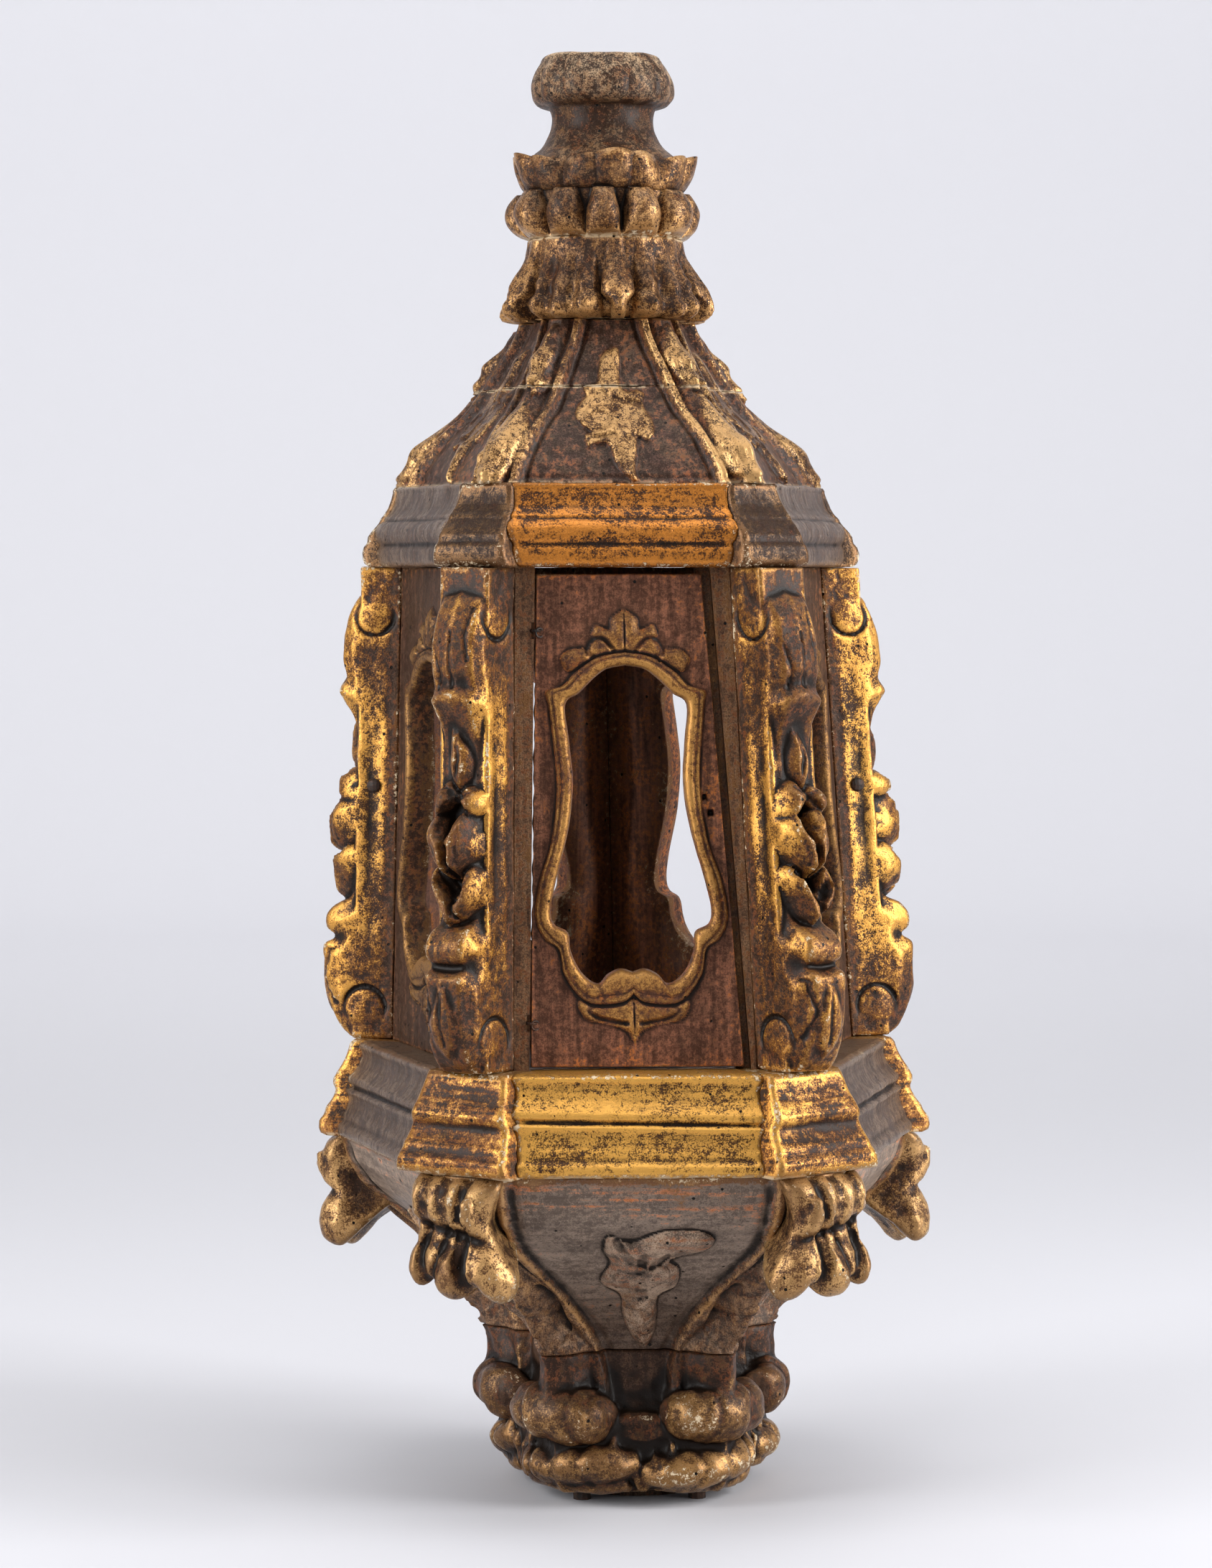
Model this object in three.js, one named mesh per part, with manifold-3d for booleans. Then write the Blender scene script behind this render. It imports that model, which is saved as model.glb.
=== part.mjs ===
// A carved and gilded wooden lantern, five-sided, that stands on its own carved foot.
// It is a stack of glued blocks with a hollow lamp room: foot, bowl, lower cornice, body, upper cornice, dome
// and a chimney. The body is four pierced boards, two door posts and a pierced door on wire-eye hinges, with a
// scrolled bracket on each of the five corners.
// It was built crooked: its floors are level but its axis leans a little to the left as it goes up.
// Millimetres, +Z up, origin on the axis at the floor. The door faces -Y.
import * as THREE from "three";
import { mergeVertices } from "three/addons/utils/BufferGeometryUtils.js";
import Module from "manifold-3d";

const wasm = await Module();
wasm.setup();

// Heights of the glued blocks, from the floor up, and of the joints between them
const STUB_HEIGHT = 6;
const FOOT_HEIGHT = 78;
const BOWL_HEIGHT = 108;
const LOWER_CORNICE_HEIGHT = 53;
const BODY_HEIGHT = 268;
const UPPER_CORNICE_HEIGHT = 45;
const DOME_LOWER_HEIGHT = 54;
const DOME_UPPER_HEIGHT = 38;
const SKIRT_HEIGHT = 46;
const COLLAR_HEIGHT = 104;
const Z_FOOT = STUB_HEIGHT;
const Z_BOWL = Z_FOOT + FOOT_HEIGHT;
const Z_LOWER_CORNICE = Z_BOWL + BOWL_HEIGHT;
const Z_BODY = Z_LOWER_CORNICE + LOWER_CORNICE_HEIGHT;
const Z_UPPER_CORNICE = Z_BODY + BODY_HEIGHT;
const Z_DOME = Z_UPPER_CORNICE + UPPER_CORNICE_HEIGHT;
const Z_DOME_SPLIT = Z_DOME + DOME_LOWER_HEIGHT;
const Z_SKIRT = Z_DOME_SPLIT + DOME_UPPER_HEIGHT;
const Z_COLLAR = Z_SKIRT + SKIRT_HEIGHT;
const Z_TOP = Z_COLLAR + COLLAR_HEIGHT;

// Sideways lean of the whole stack, per millimetre of height
const LEAN = 0.0244;

// The five-sided plan
const SIDES = 5;
const TURN = (2 * Math.PI) / SIDES;
const HALF_TURN = TURN / 2;
const SIN = Math.sin(HALF_TURN);
const COS = Math.cos(HALF_TURN);
const FACE_NAMES = ["front", "right", "back_right", "back_left", "left"];
const CORNER_NAMES = ["front_right", "right", "back", "left", "front_left"];

// Clearances
const GLUE_GAP = 0.3;
const HALF_GLUE = GLUE_GAP / 2;

// Body: its half width across the flats at the bottom, how much it narrows to the top, and the cut-off corners
// that carry the brackets. The boards lean inwards, so sizes are given at the body's bottom and top
const BODY_HALF_WIDTH = 116.2;
const BODY_TAPER = 10;
const CORNER_CUT = 11.65;
const BODY_FLAT = { bottom: BODY_HALF_WIDTH, top: BODY_HALF_WIDTH - BODY_TAPER };
const CORNER_FLAT = { bottom: BODY_FLAT.bottom / COS - CORNER_CUT, top: BODY_FLAT.top / COS - CORNER_CUT };
const BOARD_THICKNESS = 12;
const HINGE_POST_WIDTH = { bottom: 8.1, top: 10.5 };
const LATCH_POST_WIDTH = { bottom: 2.6, top: 10.3 };
const DOOR_THICKNESS = 9;
const STOP_WIDTH = 8;
const DOOR_GAP_LEFT = 1.7;
const DOOR_GAP_RIGHT = { bottom: 3.7, top: 5.2 };
const DOOR_GAP_BELOW = 1.7;
const DOOR_GAP_ABOVE = 3.8;
const RIM_RELIEF = 3.5;
const ORNAMENT_RELIEF = 2.5;
const RELIEF_ROOT = 3;
const RIM_MARGIN = 1;

// Brackets, the scrolled fins on the corners
const BRACKET_HALF_WIDTH = 16;
const SCROLL_EYE_RADIUS = 7.5;
const SCROLL_EYE_PROUD = 1.2;
const NAIL_RADIUS = 4.2;
const NAIL_PROUD = 2.2;
const NAIL_SHANK_RADIUS = 1.5;
const NAIL_SHANK_LENGTH = 12;
const NAIL_HEIGHT = 144;
const NAIL_OUT = 14;

// Cornices
const UPPER_BLOCK_HALF = { bottom: 24, top: 16.5 };
const LOWER_BLOCK_HALF = { bottom: 36, top: 25 };
const MOULDING_SEAT = 8.5;
const BLOCK_SEAT = 15.8;
const CROWN_BOARD_THICKNESS = 27;
const FLOOR_BOARD_THICKNESS = 14;
const THROAT_RADIUS = 58;

// Hollow of the dome and chimney
const FLUE_RADIUS = 20;
const SKIRT_BORE = 28;
const DOME_BORE_SPLIT = 52;
const DOME_BORE_BOTTOM = 85;

// Candle cup
const CUP_FLANGE_RADIUS = 26;
const CUP_FLANGE_HEIGHT = 4;
const CUP_RADIUS = 16;
const CUP_HEIGHT = 24;
const CANDLE_BORE_RADIUS = 11;
const CANDLE_BORE_DEPTH = 18;

// Turned disc let in under the foot, and three stubs that the foot stands on
const DISC_RADIUS = 40;
const STUB_RADIUS = 5;
const STUB_RING = 54;

// Hinge eyes of bent wire. The door's eyes stand upright and sag until they bear on the post's, which lie flat
const EYE_RADIUS = 2.4;
const WIRE_RADIUS = 0.65;
const EYE_SHANK = 10;
const EYE_BEARING_GAP = 0.2;
const EYE_CLEARANCE = 0.45;
const EYE_SAG = EYE_RADIUS - 2 * WIRE_RADIUS - EYE_BEARING_GAP;
const LOWER_EYE_ABOVE_BOTTOM = 25;
const UPPER_EYE_BELOW_TOP = 34;
const EYE_HEIGHTS = { lower: Z_BODY + LOWER_EYE_ABOVE_BOTTOM, upper: Z_UPPER_CORNICE - UPPER_EYE_BELOW_TOP };
const HINGE_PROUD = 1.5;
const POST_SHANK_ANGLE = (3 * Math.PI) / 4;
const DOOR_SHANK_ANGLE = Math.PI / 6;

// Holes left by a lost latch near the door's free edge
const LATCH_HOLES = [
  { height: 145, inset: 9.5, radius: 1.9, sides: 4 },
  { height: 136.5, inset: 6, radius: 1.3, sides: 8 },
];

const material = (color, roughness, metalness = 0) =>
  new THREE.MeshStandardMaterial({ color, roughness, metalness });
const GILT = material(0x9a6a2c, 0.45, 0.35);
const DARK_WOOD = material(0x33261f, 0.6);
const BARE_WOOD = material(0x54402f, 0.8);
const IRON = material(0x2a2420, 0.7, 0.6);

const lerp = (a, b, t) => a + (b - a) * t;
const leaning = (size, z) => lerp(size.bottom, size.top, (z - Z_BODY) / BODY_HEIGHT);

// Straight lines through a list of [position, value] points
function curve(points) {
  return (at) => {
    const next = points.findIndex(([p]) => p >= at);
    if (next === 0) return points[0][1];
    if (next < 0) return points.at(-1)[1];
    const [p0, v0] = points[next - 1];
    const [p1, v1] = points[next];
    return lerp(v0, v1, (at - p0) / (p1 - p0));
  };
}

// Profiles are drawn from height 0 up to the height of their highest point, then stretched to fit the block
function stretched(profile, z0, z1) {
  const drawn = Math.max(...profile.map(([, h]) => h));
  return profile.map(([value, h]) => [value, lerp(z0, z1, h / drawn)]);
}

// The same profile, spread so that its least and greatest value become these two
function spread(profile, least, greatest) {
  const values = profile.map(([value]) => value);
  const [from, to] = [Math.min(...values), Math.max(...values)];
  return profile.map(([value, h]) => [lerp(least, greatest, (value - from) / (to - from)), h]);
}

// The value of a stretched profile at a height
function profileAt(profile) {
  return curve(profile.map(([value, z]) => [z, value]));
}

function smoothstep(from, to, x) {
  const t = Math.min(1, Math.max(0, (x - from) / (to - from)));
  return t * t * (3 - 2 * t);
}

// Angle from the nearest face's middle, 0 there and HALF_TURN on a corner
function offFace(phi) {
  return Math.abs(phi - Math.round(phi / TURN) * TURN);
}

// Solids and booleans
function solidOf(geometry) {
  const bare = (geometry.index ? geometry.toNonIndexed() : geometry.clone()).deleteAttribute("normal");
  const merged = mergeVertices(bare.deleteAttribute("uv"), 1e-4);
  const triVerts = new Uint32Array(merged.index.array);
  return new wasm.Manifold(
    new wasm.Mesh({ numProp: 3, vertProperties: new Float32Array(merged.attributes.position.array), triVerts }),
  );
}

function geometryOf(solid) {
  const made = solid.getMesh();
  const points = new Float32Array(made.numVert * 3);
  for (let i = 0; i < made.numVert; i++) {
    points.set(made.vertProperties.subarray(i * made.numProp, i * made.numProp + 3), i * 3);
  }
  const geometry = new THREE.BufferGeometry().setAttribute("position", new THREE.BufferAttribute(points, 3));
  geometry.setIndex(new THREE.BufferAttribute(made.triVerts, 1));
  return geometry.toNonIndexed();
}

function joined(first, ...others) {
  return geometryOf(others.reduce((sum, g) => sum.add(solidOf(g)), solidOf(first)));
}

function cut(first, ...cutters) {
  return geometryOf(cutters.reduce((rest, g) => rest.subtract(solidOf(g)), solidOf(first)));
}

function closedMesh(points, faces) {
  const geometry = new THREE.BufferGeometry();
  geometry.setAttribute("position", new THREE.Float32BufferAttribute(points.flat(), 3));
  geometry.setIndex(faces.flat());
  return geometry.toNonIndexed();
}

// A solid between two copies of one outline: near(point) and far(point) place each copy's points
function between(outline, near, far) {
  const flat = outline.map(([x, y]) => new THREE.Vector2(x, y));
  const turned = THREE.ShapeUtils.area(flat) < 0;
  const caps = THREE.ShapeUtils.triangulateShape(flat, []);
  const n = outline.length;
  const points = [...outline.map(near), ...outline.map(far)];
  const faces = [];
  for (const [a, b, c] of caps) {
    faces.push([c, b, a], [n + a, n + b, n + c]);
  }
  for (let i = 0; i < n; i++) {
    const j = (i + 1) % n;
    const side = [[i, j, n + j], [i, n + j, n + i]];
    faces.push(...side.map((f) => (turned ? f.toReversed() : f)));
  }
  const geometry = closedMesh(points, faces);
  return signedVolume(geometry) < 0 ? closedMesh(points, faces.map((f) => f.toReversed())) : geometry;
}

function signedVolume(geometry) {
  const p = geometry.attributes.position;
  const [a, b, c] = [new THREE.Vector3(), new THREE.Vector3(), new THREE.Vector3()];
  let sum = 0;
  for (let i = 0; i < p.count; i += 3) {
    a.fromBufferAttribute(p, i);
    b.fromBufferAttribute(p, i + 1);
    c.fromBufferAttribute(p, i + 2);
    sum += a.dot(b.cross(c));
  }
  return sum / 6;
}

// A tier round the axis: rows of [outer radius by angle, z] from the top down, with a bore as [radius, z] from
// the top down, or solid where it has none
function tier(rows, segments, bore = []) {
  const points = [];
  const faces = [];
  const ring = (radius, z) => {
    const first = points.length;
    for (let i = 0; i < segments; i++) {
      const phi = (i / segments) * 2 * Math.PI;
      const r = radius(phi);
      points.push([r * Math.sin(phi), -r * Math.cos(phi), z]);
    }
    return first;
  };
  const rings = rows.map(([radius, z]) => ring(radius, z));
  rings.push(...bore.toReversed().map(([r, z]) => ring(() => r, z)));
  const bands = bore.length ? rings.length : rings.length - 1;
  for (let k = 0; k < bands; k++) {
    const [upper, lower] = [rings[k], rings[(k + 1) % rings.length]];
    for (let i = 0; i < segments; i++) {
      const j = (i + 1) % segments;
      faces.push([upper + i, lower + i, lower + j], [upper + i, lower + j, upper + j]);
    }
  }
  if (!bore.length) {
    const [top, bottom] = [rings[0], rings.at(-1)];
    const centre = points.push([0, 0, rows[0][1]], [0, 0, rows.at(-1)[1]]) - 2;
    for (let i = 0; i < segments; i++) {
      const j = (i + 1) % segments;
      faces.push([centre, top + i, top + j], [centre + 1, bottom + j, bottom + i]);
    }
  }
  return closedMesh(points, faces);
}

// The heights of a stretched profile's points, from the top down
function levelsOf(profile) {
  return profile.map(([, z]) => z).toSorted((a, b) => b - a);
}

// A flat five-sided board with cut corners, between two heights
function fiveSidedBoard(flat, corner, z0, z1) {
  const outline = [];
  for (let k = 0; k < SIDES; k++) {
    const phi = (k + 0.5) * TURN;
    const half = (flat / COS - corner) / Math.tan(HALF_TURN);
    for (const side of [-1, 1]) {
      const x = corner * Math.sin(phi) + side * half * Math.cos(phi);
      const y = -corner * Math.cos(phi) + side * half * Math.sin(phi);
      outline.push([x, y]);
    }
  }
  return between(outline, ([x, y]) => [x, y, z0], ([x, y]) => [x, y, z1]);
}

function cylinder(radius, length, sides) {
  return new THREE.CylinderGeometry(radius, radius, length, sides);
}

function ellipsoid(rx, ry, rz, [x, y, z]) {
  return new THREE.SphereGeometry(1, 8, 6).scale(rx, ry, rz).translate(x, y, z);
}

// Chimney collar: a fluted ring, a neck, five curled leaves and twelve gadroons, carved from one block
const GADROONS = 12;
const collarLeaf = (phi) => 0.5 + 0.5 * Math.cos(SIDES * phi - 0.4);
const gadroon = (phi) => Math.abs(Math.cos((GADROONS / 2) * phi));
const flute = (phi) => Math.abs(Math.sin(GADROONS * phi));

const COLLAR = [
  [33, 104, 0, flute],
  [38.2, 94, -0.8, flute],
  [40.2, 85, -1.2, flute],
  [38, 78, -0.8, flute],
  [30.5, 73.5, 0, flute],
  [28.8, 66, 0, flute],
  [31.5, 56, 0, flute],
  [36.5, 49, 0, collarLeaf],
  [40, 45, 14, collarLeaf],
  [42, 38, 12, collarLeaf],
  [43.5, 29, 3.5, collarLeaf],
  [44, 22, 6, gadroon],
  [46, 10, 10, gadroon],
  [45, 3, 9, gadroon],
  [44, 0, 0, gadroon],
];

// The rows of a carved tier, from a list of [radius, height, reach of the carving, shape of the carving]
function carvedRows(carving, z0, z1) {
  const heights = stretched(carving, z0, z1);
  return carving.map(([radius, , reach, shape], i) => [(phi) => radius + reach * shape(phi), heights[i][1]]);
}

function collarGeometry() {
  return tier(carvedRows(COLLAR, Z_COLLAR, Z_TOP), 40, [[FLUE_RADIUS, Z_TOP], [FLUE_RADIUS, Z_COLLAR]]);
}

// Skirt of ten overlapping leaves below the gadroons
const skirtLeaf = (phi) => Math.abs(Math.cos(SIDES * phi));
const SKIRT = [
  [42, 46, 1.5, skirtLeaf],
  [43.5, 32, 3, skirtLeaf],
  [47, 20, 5.5, skirtLeaf],
  [51, 11, 8, skirtLeaf],
  [50, 6, 8, skirtLeaf],
  [48, 0, 2, skirtLeaf],
];

function skirtGeometry() {
  return tier(carvedRows(SKIRT, Z_SKIRT, Z_COLLAR), 40, [[FLUE_RADIUS, Z_COLLAR], [SKIRT_BORE, Z_SKIRT]]);
}

// Bell-shaped dome with a carved rib on each corner
const RIB_HALF_WIDTH = 13;
const RIB_RELIEF = 7;
const DOME_RIB = [
  [127, 0],
  [124, 7],
  [117, 18],
  [106, 30],
  [90, 41],
  [80, 54],
  [72, 65],
  [64, 76],
  [54, 92],
];
const DOME_TOP_RADIUS = 54;
const DOME_OVERHANG = 7.4;
const domeSpread = spread(DOME_RIB, DOME_TOP_RADIUS, CORNER_FLAT.top + DOME_OVERHANG);
const domeRibPoints = stretched(domeSpread, Z_DOME, Z_SKIRT);
const domeRib = profileAt(domeRibPoints);

function domeRadius(phi, z) {
  const surface = domeRib(z) - RIB_RELIEF;
  const off = HALF_TURN - offFace(phi);
  const flat = (surface * COS + 2) / Math.cos(offFace(phi));
  const across = surface * Math.sin(off);
  const rib = 1 - smoothstep(RIB_HALF_WIDTH - 2, RIB_HALF_WIDTH + 2, across);
  return lerp(Math.min(flat, surface), domeRib(z) * Math.cos(off * 0.5), rib);
}

// The leaf carved on a dome face, as a raised outline [across, up]
const DOME_LEAF = [
  [1, 3],
  [5, 14],
  [5, 25],
  [17, 30],
  [16, 42],
  [11, 46],
  [14, 54],
  [4, 58],
  [5, 76],
  [0, 82],
  [-7, 76],
  [-7, 62],
  [-15, 54],
  [-21, 45],
  [-18, 36],
  [-16, 24],
  [-6, 25],
  [-4, 12],
];
const DOME_LEAF_TOP_GAP = 10;

function domeLeafGeometry() {
  const face = (z) => (domeRib(z) - RIB_RELIEF) * COS + 2;
  const outline = stretched(DOME_LEAF, Z_DOME, Z_SKIRT - DOME_LEAF_TOP_GAP);
  return between(outline, ([x, z]) => [x, -(face(z) - 6), z], ([x, z]) => [x, -(face(z) + 3), z]);
}

// One of the dome's two blocks, with its share of the five face leaves
function domeBlockGeometry(z0, z1, bore) {
  const levels = levelsOf(domeRibPoints).filter((z) => z > z0 && z < z1);
  const rows = [z1, ...levels, z0].map((z) => [(phi) => domeRadius(phi, z), z]);
  const slab = new THREE.BoxGeometry(4 * domeRib(z0), 4 * domeRib(z0), z1 - z0).translate(0, 0, (z0 + z1) / 2);
  const leaf = geometryOf(solidOf(domeLeafGeometry()).intersect(solidOf(slab)));
  const leaves = FACE_NAMES.map((_, k) => leaf.clone().rotateZ(k * TURN));
  return joined(tier(rows, 50, bore), ...leaves);
}

// Cornices: mouldings along the faces, with breaking-forward blocks over the corners
// Each profile runs [out from the body's flat or corner, height] up its carved side
const UPPER_MOULDING = [
  [12.3, 0],
  [13.8, 3],
  [13.8, 8],
  [14.8, 13],
  [13.3, 18],
  [9.8, 22],
  [8.3, 26],
  [4.8, 31],
  [2.3, 38],
  [1.3, 42],
  [0.3, 45],
];
const UPPER_BLOCK = [
  [17.4, 0],
  [21.4, 4],
  [22.4, 9],
  [19.4, 15],
  [14.4, 19],
  [11.9, 24],
  [9.4, 28],
  [6.4, 35],
  [3.9, 41],
  [2.9, 45],
];
const LOWER_MOULDING = [
  [31.3, 0],
  [33.8, 2],
  [33.3, 7],
  [30.8, 11],
  [28.3, 18],
  [27.8, 24],
  [25.3, 27],
  [25.8, 32],
  [22.3, 37],
  [19.3, 44],
  [18.3, 49],
  [15.8, 53],
];
const LOWER_BLOCK = [
  [35, 0],
  [39, 2],
  [40, 9],
  [36, 15],
  [32, 21],
  [30, 26],
  [32.5, 31],
  [29, 37],
  [25, 43],
  [23, 49],
  [21, 53],
];

// A cornice section: its carved side stretched to its height and set out from the body, closed by a flat back
function corniceSection(profile, body, seat, z0, z1) {
  const carved = stretched(profile, z0, z1).map(([out, z]) => [body + out, z]);
  const back = body - seat + GLUE_GAP;
  return [[back, z0], ...carved, [back, z1]];
}

function blockHalfAt(half, z0, z1) {
  return (z) => lerp(half.bottom, half.top, (z - z0) / (z1 - z0));
}

// Each end of a moulding butts against the side of a corner block
function mouldingGeometry(profile, halfAt) {
  const end = (flat, z) => (flat * SIN - halfAt(z) - GLUE_GAP) / COS;
  return between(
    profile,
    ([flat, z]) => [-end(flat, z), -flat, z],
    ([flat, z]) => [end(flat, z), -flat, z],
  );
}

function blockGeometry(profile, halfAt) {
  return between(
    profile,
    ([r, z]) => [-halfAt(z), -r, z],
    ([r, z]) => [halfAt(z), -r, z],
  );
}

// The side profile of a bracket, [out from the corner flat, height] from the bottom up
const BRACKET_PROFILE = [
  [27, 0],
  [34, 6],
  [40, 17],
  [43.5, 29],
  [44.5, 43],
  [45, 52],
  [38, 56.5],
  [43, 61],
  [44, 69],
  [38.5, 76],
  [29, 80.5],
  [26, 90],
  [25.5, 115],
  [25.5, 155],
  [26, 171],
  [30, 185],
  [35.5, 193],
  [40, 200],
  [36, 207],
  [38.5, 215],
  [38, 229],
  [35, 241],
  [30, 251],
  [22, 258],
  [20, 268],
];

// All that is carved on the body is drawn at the height of the bracket's profile and stretched to the real one
const drawnHeight = BRACKET_PROFILE.at(-1)[1];
const boardHeight = (h) => Z_BODY + (h / drawnHeight) * BODY_HEIGHT;

// Body boards: the outline of a board's plan at one height, from its inner left corner round to its inner right.
// Each end is the corner mitre, or an upright edge where a place is given, with a stop behind the door if wanted
function boardPlan(z, { thickness = BOARD_THICKNESS, left, right, stop }) {
  const outer = leaning(BODY_FLAT, z);
  const inner = outer - thickness;
  const corner = leaning(CORNER_FLAT, z);
  const atMitre = corner * SIN - HALF_GLUE;
  const mitreFlat = corner * COS;
  const atInner = (inner / COS) * SIN - HALF_GLUE;
  const mitre = [[atInner, inner], [atMitre, mitreFlat], [faceHalf(z), outer]];
  const upright = (at) => [[at(z), inner], [at(z), outer]];
  const leftSide = left ? upright(left) : mitre.map(([x, y]) => [-x, y]);
  const rightSide = right ? upright(right) : mitre;
  if (stop) {
    const behindDoor = outer - DOOR_THICKNESS - GLUE_GAP;
    const stopEdge = left(z) - STOP_WIDTH;
    leftSide.splice(0, 1, [stopEdge, inner], [stopEdge, behindDoor], [left(z), behindDoor]);
  }
  return [...leftSide, ...rightSide.toReversed()].map(([x, y]) => [x, -y]);
}

function boardGeometry(z0, z1, plan = {}) {
  const upper = boardPlan(z1, plan);
  const lower = boardPlan(z0, plan).map(([x, y], i) => [x, y, i]);
  return between(
    lower,
    ([x, y]) => [x, y, z0],
    ([, , i]) => [...upper[i], z1],
  );
}

// The pierced window and its carved surround, as half outlines of [across, up from the board's bottom]
const WINDOW_HALF = [
  [0, 215.5],
  [10, 213.5],
  [17, 208.5],
  [25, 200.5],
  [32.5, 194.5],
  [31, 175],
  [29.5, 152],
  [33, 126],
  [40.5, 98],
  [43, 84],
  [41, 77],
  [34, 73],
  [33, 64],
  [29, 54],
  [23, 47.5],
  [17.5, 46],
  [13.5, 50.5],
  [6.5, 53.5],
  [0, 51.8],
];
const RIM_HALF = [
  [0, 223],
  [14, 220.5],
  [26, 213],
  [34, 205],
  [43, 201.5],
  [41.5, 192],
  [38.5, 152],
  [42, 122],
  [49, 100],
  [51.5, 82],
  [47, 70],
  [39.5, 64],
  [37, 51],
  [29, 39],
  [20, 34.5],
  [6, 35.5],
  [0, 40.5],
];
const CROWN_HALF = [
  [0, 246],
  [7, 241],
  [8.5, 235],
  [16, 237],
  [20.5, 226],
  [30, 224],
  [35, 219],
  [31, 212],
  [22, 215],
  [0, 219],
];
const DROP_HALF = [
  [0, 13.5],
  [5, 21],
  [16, 24.5],
  [26, 27],
  [30, 35.5],
  [24, 38],
  [0, 38],
];

function mirrored(half) {
  const left = half.filter(([x]) => x > 0).toReversed();
  return [...half, ...left.map(([x, y]) => [-x, y])];
}

// A prism standing out from a leaning board: its outline is drawn about the window's middle line
function onBoard(half, middle, from, to) {
  const lean = Math.atan((BODY_FLAT.bottom - BODY_FLAT.top) / BODY_HEIGHT);
  const place = (depth) => ([x, h]) => {
    const z = boardHeight(h);
    const flat = leaning(BODY_FLAT, z);
    return [x * windowScale + middle(z), -(flat + depth * Math.cos(lean)), z + depth * Math.sin(lean)];
  };
  return between(mirrored(half), place(from), place(to));
}

function piercedBoard(board, middle) {
  const rim = onBoard(RIM_HALF, middle, -RELIEF_ROOT, RIM_RELIEF);
  const crown = onBoard(CROWN_HALF, middle, -RELIEF_ROOT, ORNAMENT_RELIEF);
  const drop = onBoard(DROP_HALF, middle, -RELIEF_ROOT, ORNAMENT_RELIEF);
  const hole = onBoard(WINDOW_HALF, middle, -2 * BOARD_THICKNESS, 2 * RIM_RELIEF);
  return cut(joined(board, rim, crown, drop), hole);
}

// Door and its hinge line, which runs up the middle of the left gap, just in front of the boards
const faceHalf = (z) => (leaning(CORNER_FLAT, z) - leaning(BODY_FLAT, z) * COS) / SIN;
const openingLeft = (z) => leaning(HINGE_POST_WIDTH, z) - faceHalf(z);
const openingRight = (z) => faceHalf(z) - leaning(LATCH_POST_WIDTH, z);
const doorLeft = (z) => openingLeft(z) + DOOR_GAP_LEFT;
const doorRight = (z) => openingRight(z) - leaning(DOOR_GAP_RIGHT, z);
const doorMiddle = (z) => (doorLeft(z) + doorRight(z)) / 2;
const hingePoint = (z) => {
  const x = openingLeft(z) + DOOR_GAP_LEFT / 2;
  return new THREE.Vector3(x, -(leaning(BODY_FLAT, z) + HINGE_PROUD), z);
};
const hingeAxis = hingePoint(Z_UPPER_CORNICE).sub(hingePoint(Z_BODY)).normalize();

// The window's surround is drawn full size and fitted to the door's width, which the fixed boards repeat
const windowScale = Math.min(
  ...RIM_HALF.filter(([x]) => x > 0).map(([x, h]) => {
    const z = boardHeight(h);
    return ((doorRight(z) - doorLeft(z)) / 2 - RIM_MARGIN) / x;
  }),
);

function fixedPanelGeometry() {
  return piercedBoard(boardGeometry(Z_BODY, Z_UPPER_CORNICE), () => 0);
}

function hingeFrame(z) {
  const turn = new THREE.Quaternion().setFromUnitVectors(new THREE.Vector3(0, 0, 1), hingeAxis);
  return new THREE.Matrix4().compose(hingePoint(z), turn, new THREE.Vector3(1, 1, 1));
}

// Room for the linked eyes, cut out of the post and the door
function notch(reach, z) {
  const halfHeight = EYE_SAG + EYE_RADIUS + WIRE_RADIUS + EYE_CLEARANCE;
  const round = cylinder(reach + WIRE_RADIUS + EYE_CLEARANCE, 2 * halfHeight, 16);
  return round.rotateX(Math.PI / 2).applyMatrix4(hingeFrame(z));
}

// A wire hole or shank lies level in the hinge frame, at an angle from the door's direction
function shank(radius, from, to, sides) {
  return cylinder(radius, to - from, sides).rotateZ(-Math.PI / 2).translate((from + to) / 2, 0, 0);
}

function eyeGeometry(standing) {
  const wire = new THREE.TorusGeometry(EYE_RADIUS, WIRE_RADIUS, 6, 12);
  const reach = 2 * EYE_RADIUS;
  if (standing) {
    wire.rotateX(Math.PI / 2).translate(EYE_RADIUS, 0, 0);
    return joined(wire, shank(WIRE_RADIUS, reach, reach + EYE_SHANK, 8)).translate(0, 0, -EYE_SAG);
  }
  return joined(wire, shank(WIRE_RADIUS, EYE_RADIUS, EYE_RADIUS + EYE_SHANK, 8));
}

function wireHole(z, angle, to, sag) {
  const hole = shank(WIRE_RADIUS + EYE_CLEARANCE, WIRE_RADIUS, to + EYE_CLEARANCE, 8);
  return hole.translate(0, 0, -sag).rotateZ(angle).applyMatrix4(hingeFrame(z));
}

function doorGeometry() {
  const z0 = Z_BODY + DOOR_GAP_BELOW;
  const z1 = Z_UPPER_CORNICE - DOOR_GAP_ABOVE;
  const board = boardGeometry(z0, z1, { thickness: DOOR_THICKNESS, left: doorLeft, right: doorRight });
  const latchHoles = LATCH_HOLES.map(({ height, inset, radius, sides }) => {
    const z = boardHeight(height);
    const hole = cylinder(radius, 4 * BOARD_THICKNESS, sides);
    return hole.translate(doorRight(z) - inset, -leaning(BODY_FLAT, z), z);
  });
  const cuts = Object.values(EYE_HEIGHTS).flatMap((z) => [
    notch(2 * EYE_RADIUS, z),
    wireHole(z, DOOR_SHANK_ANGLE, 2 * EYE_RADIUS + EYE_SHANK, EYE_SAG),
  ]);
  return cut(piercedBoard(board, doorMiddle), ...latchHoles, ...cuts);
}

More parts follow.
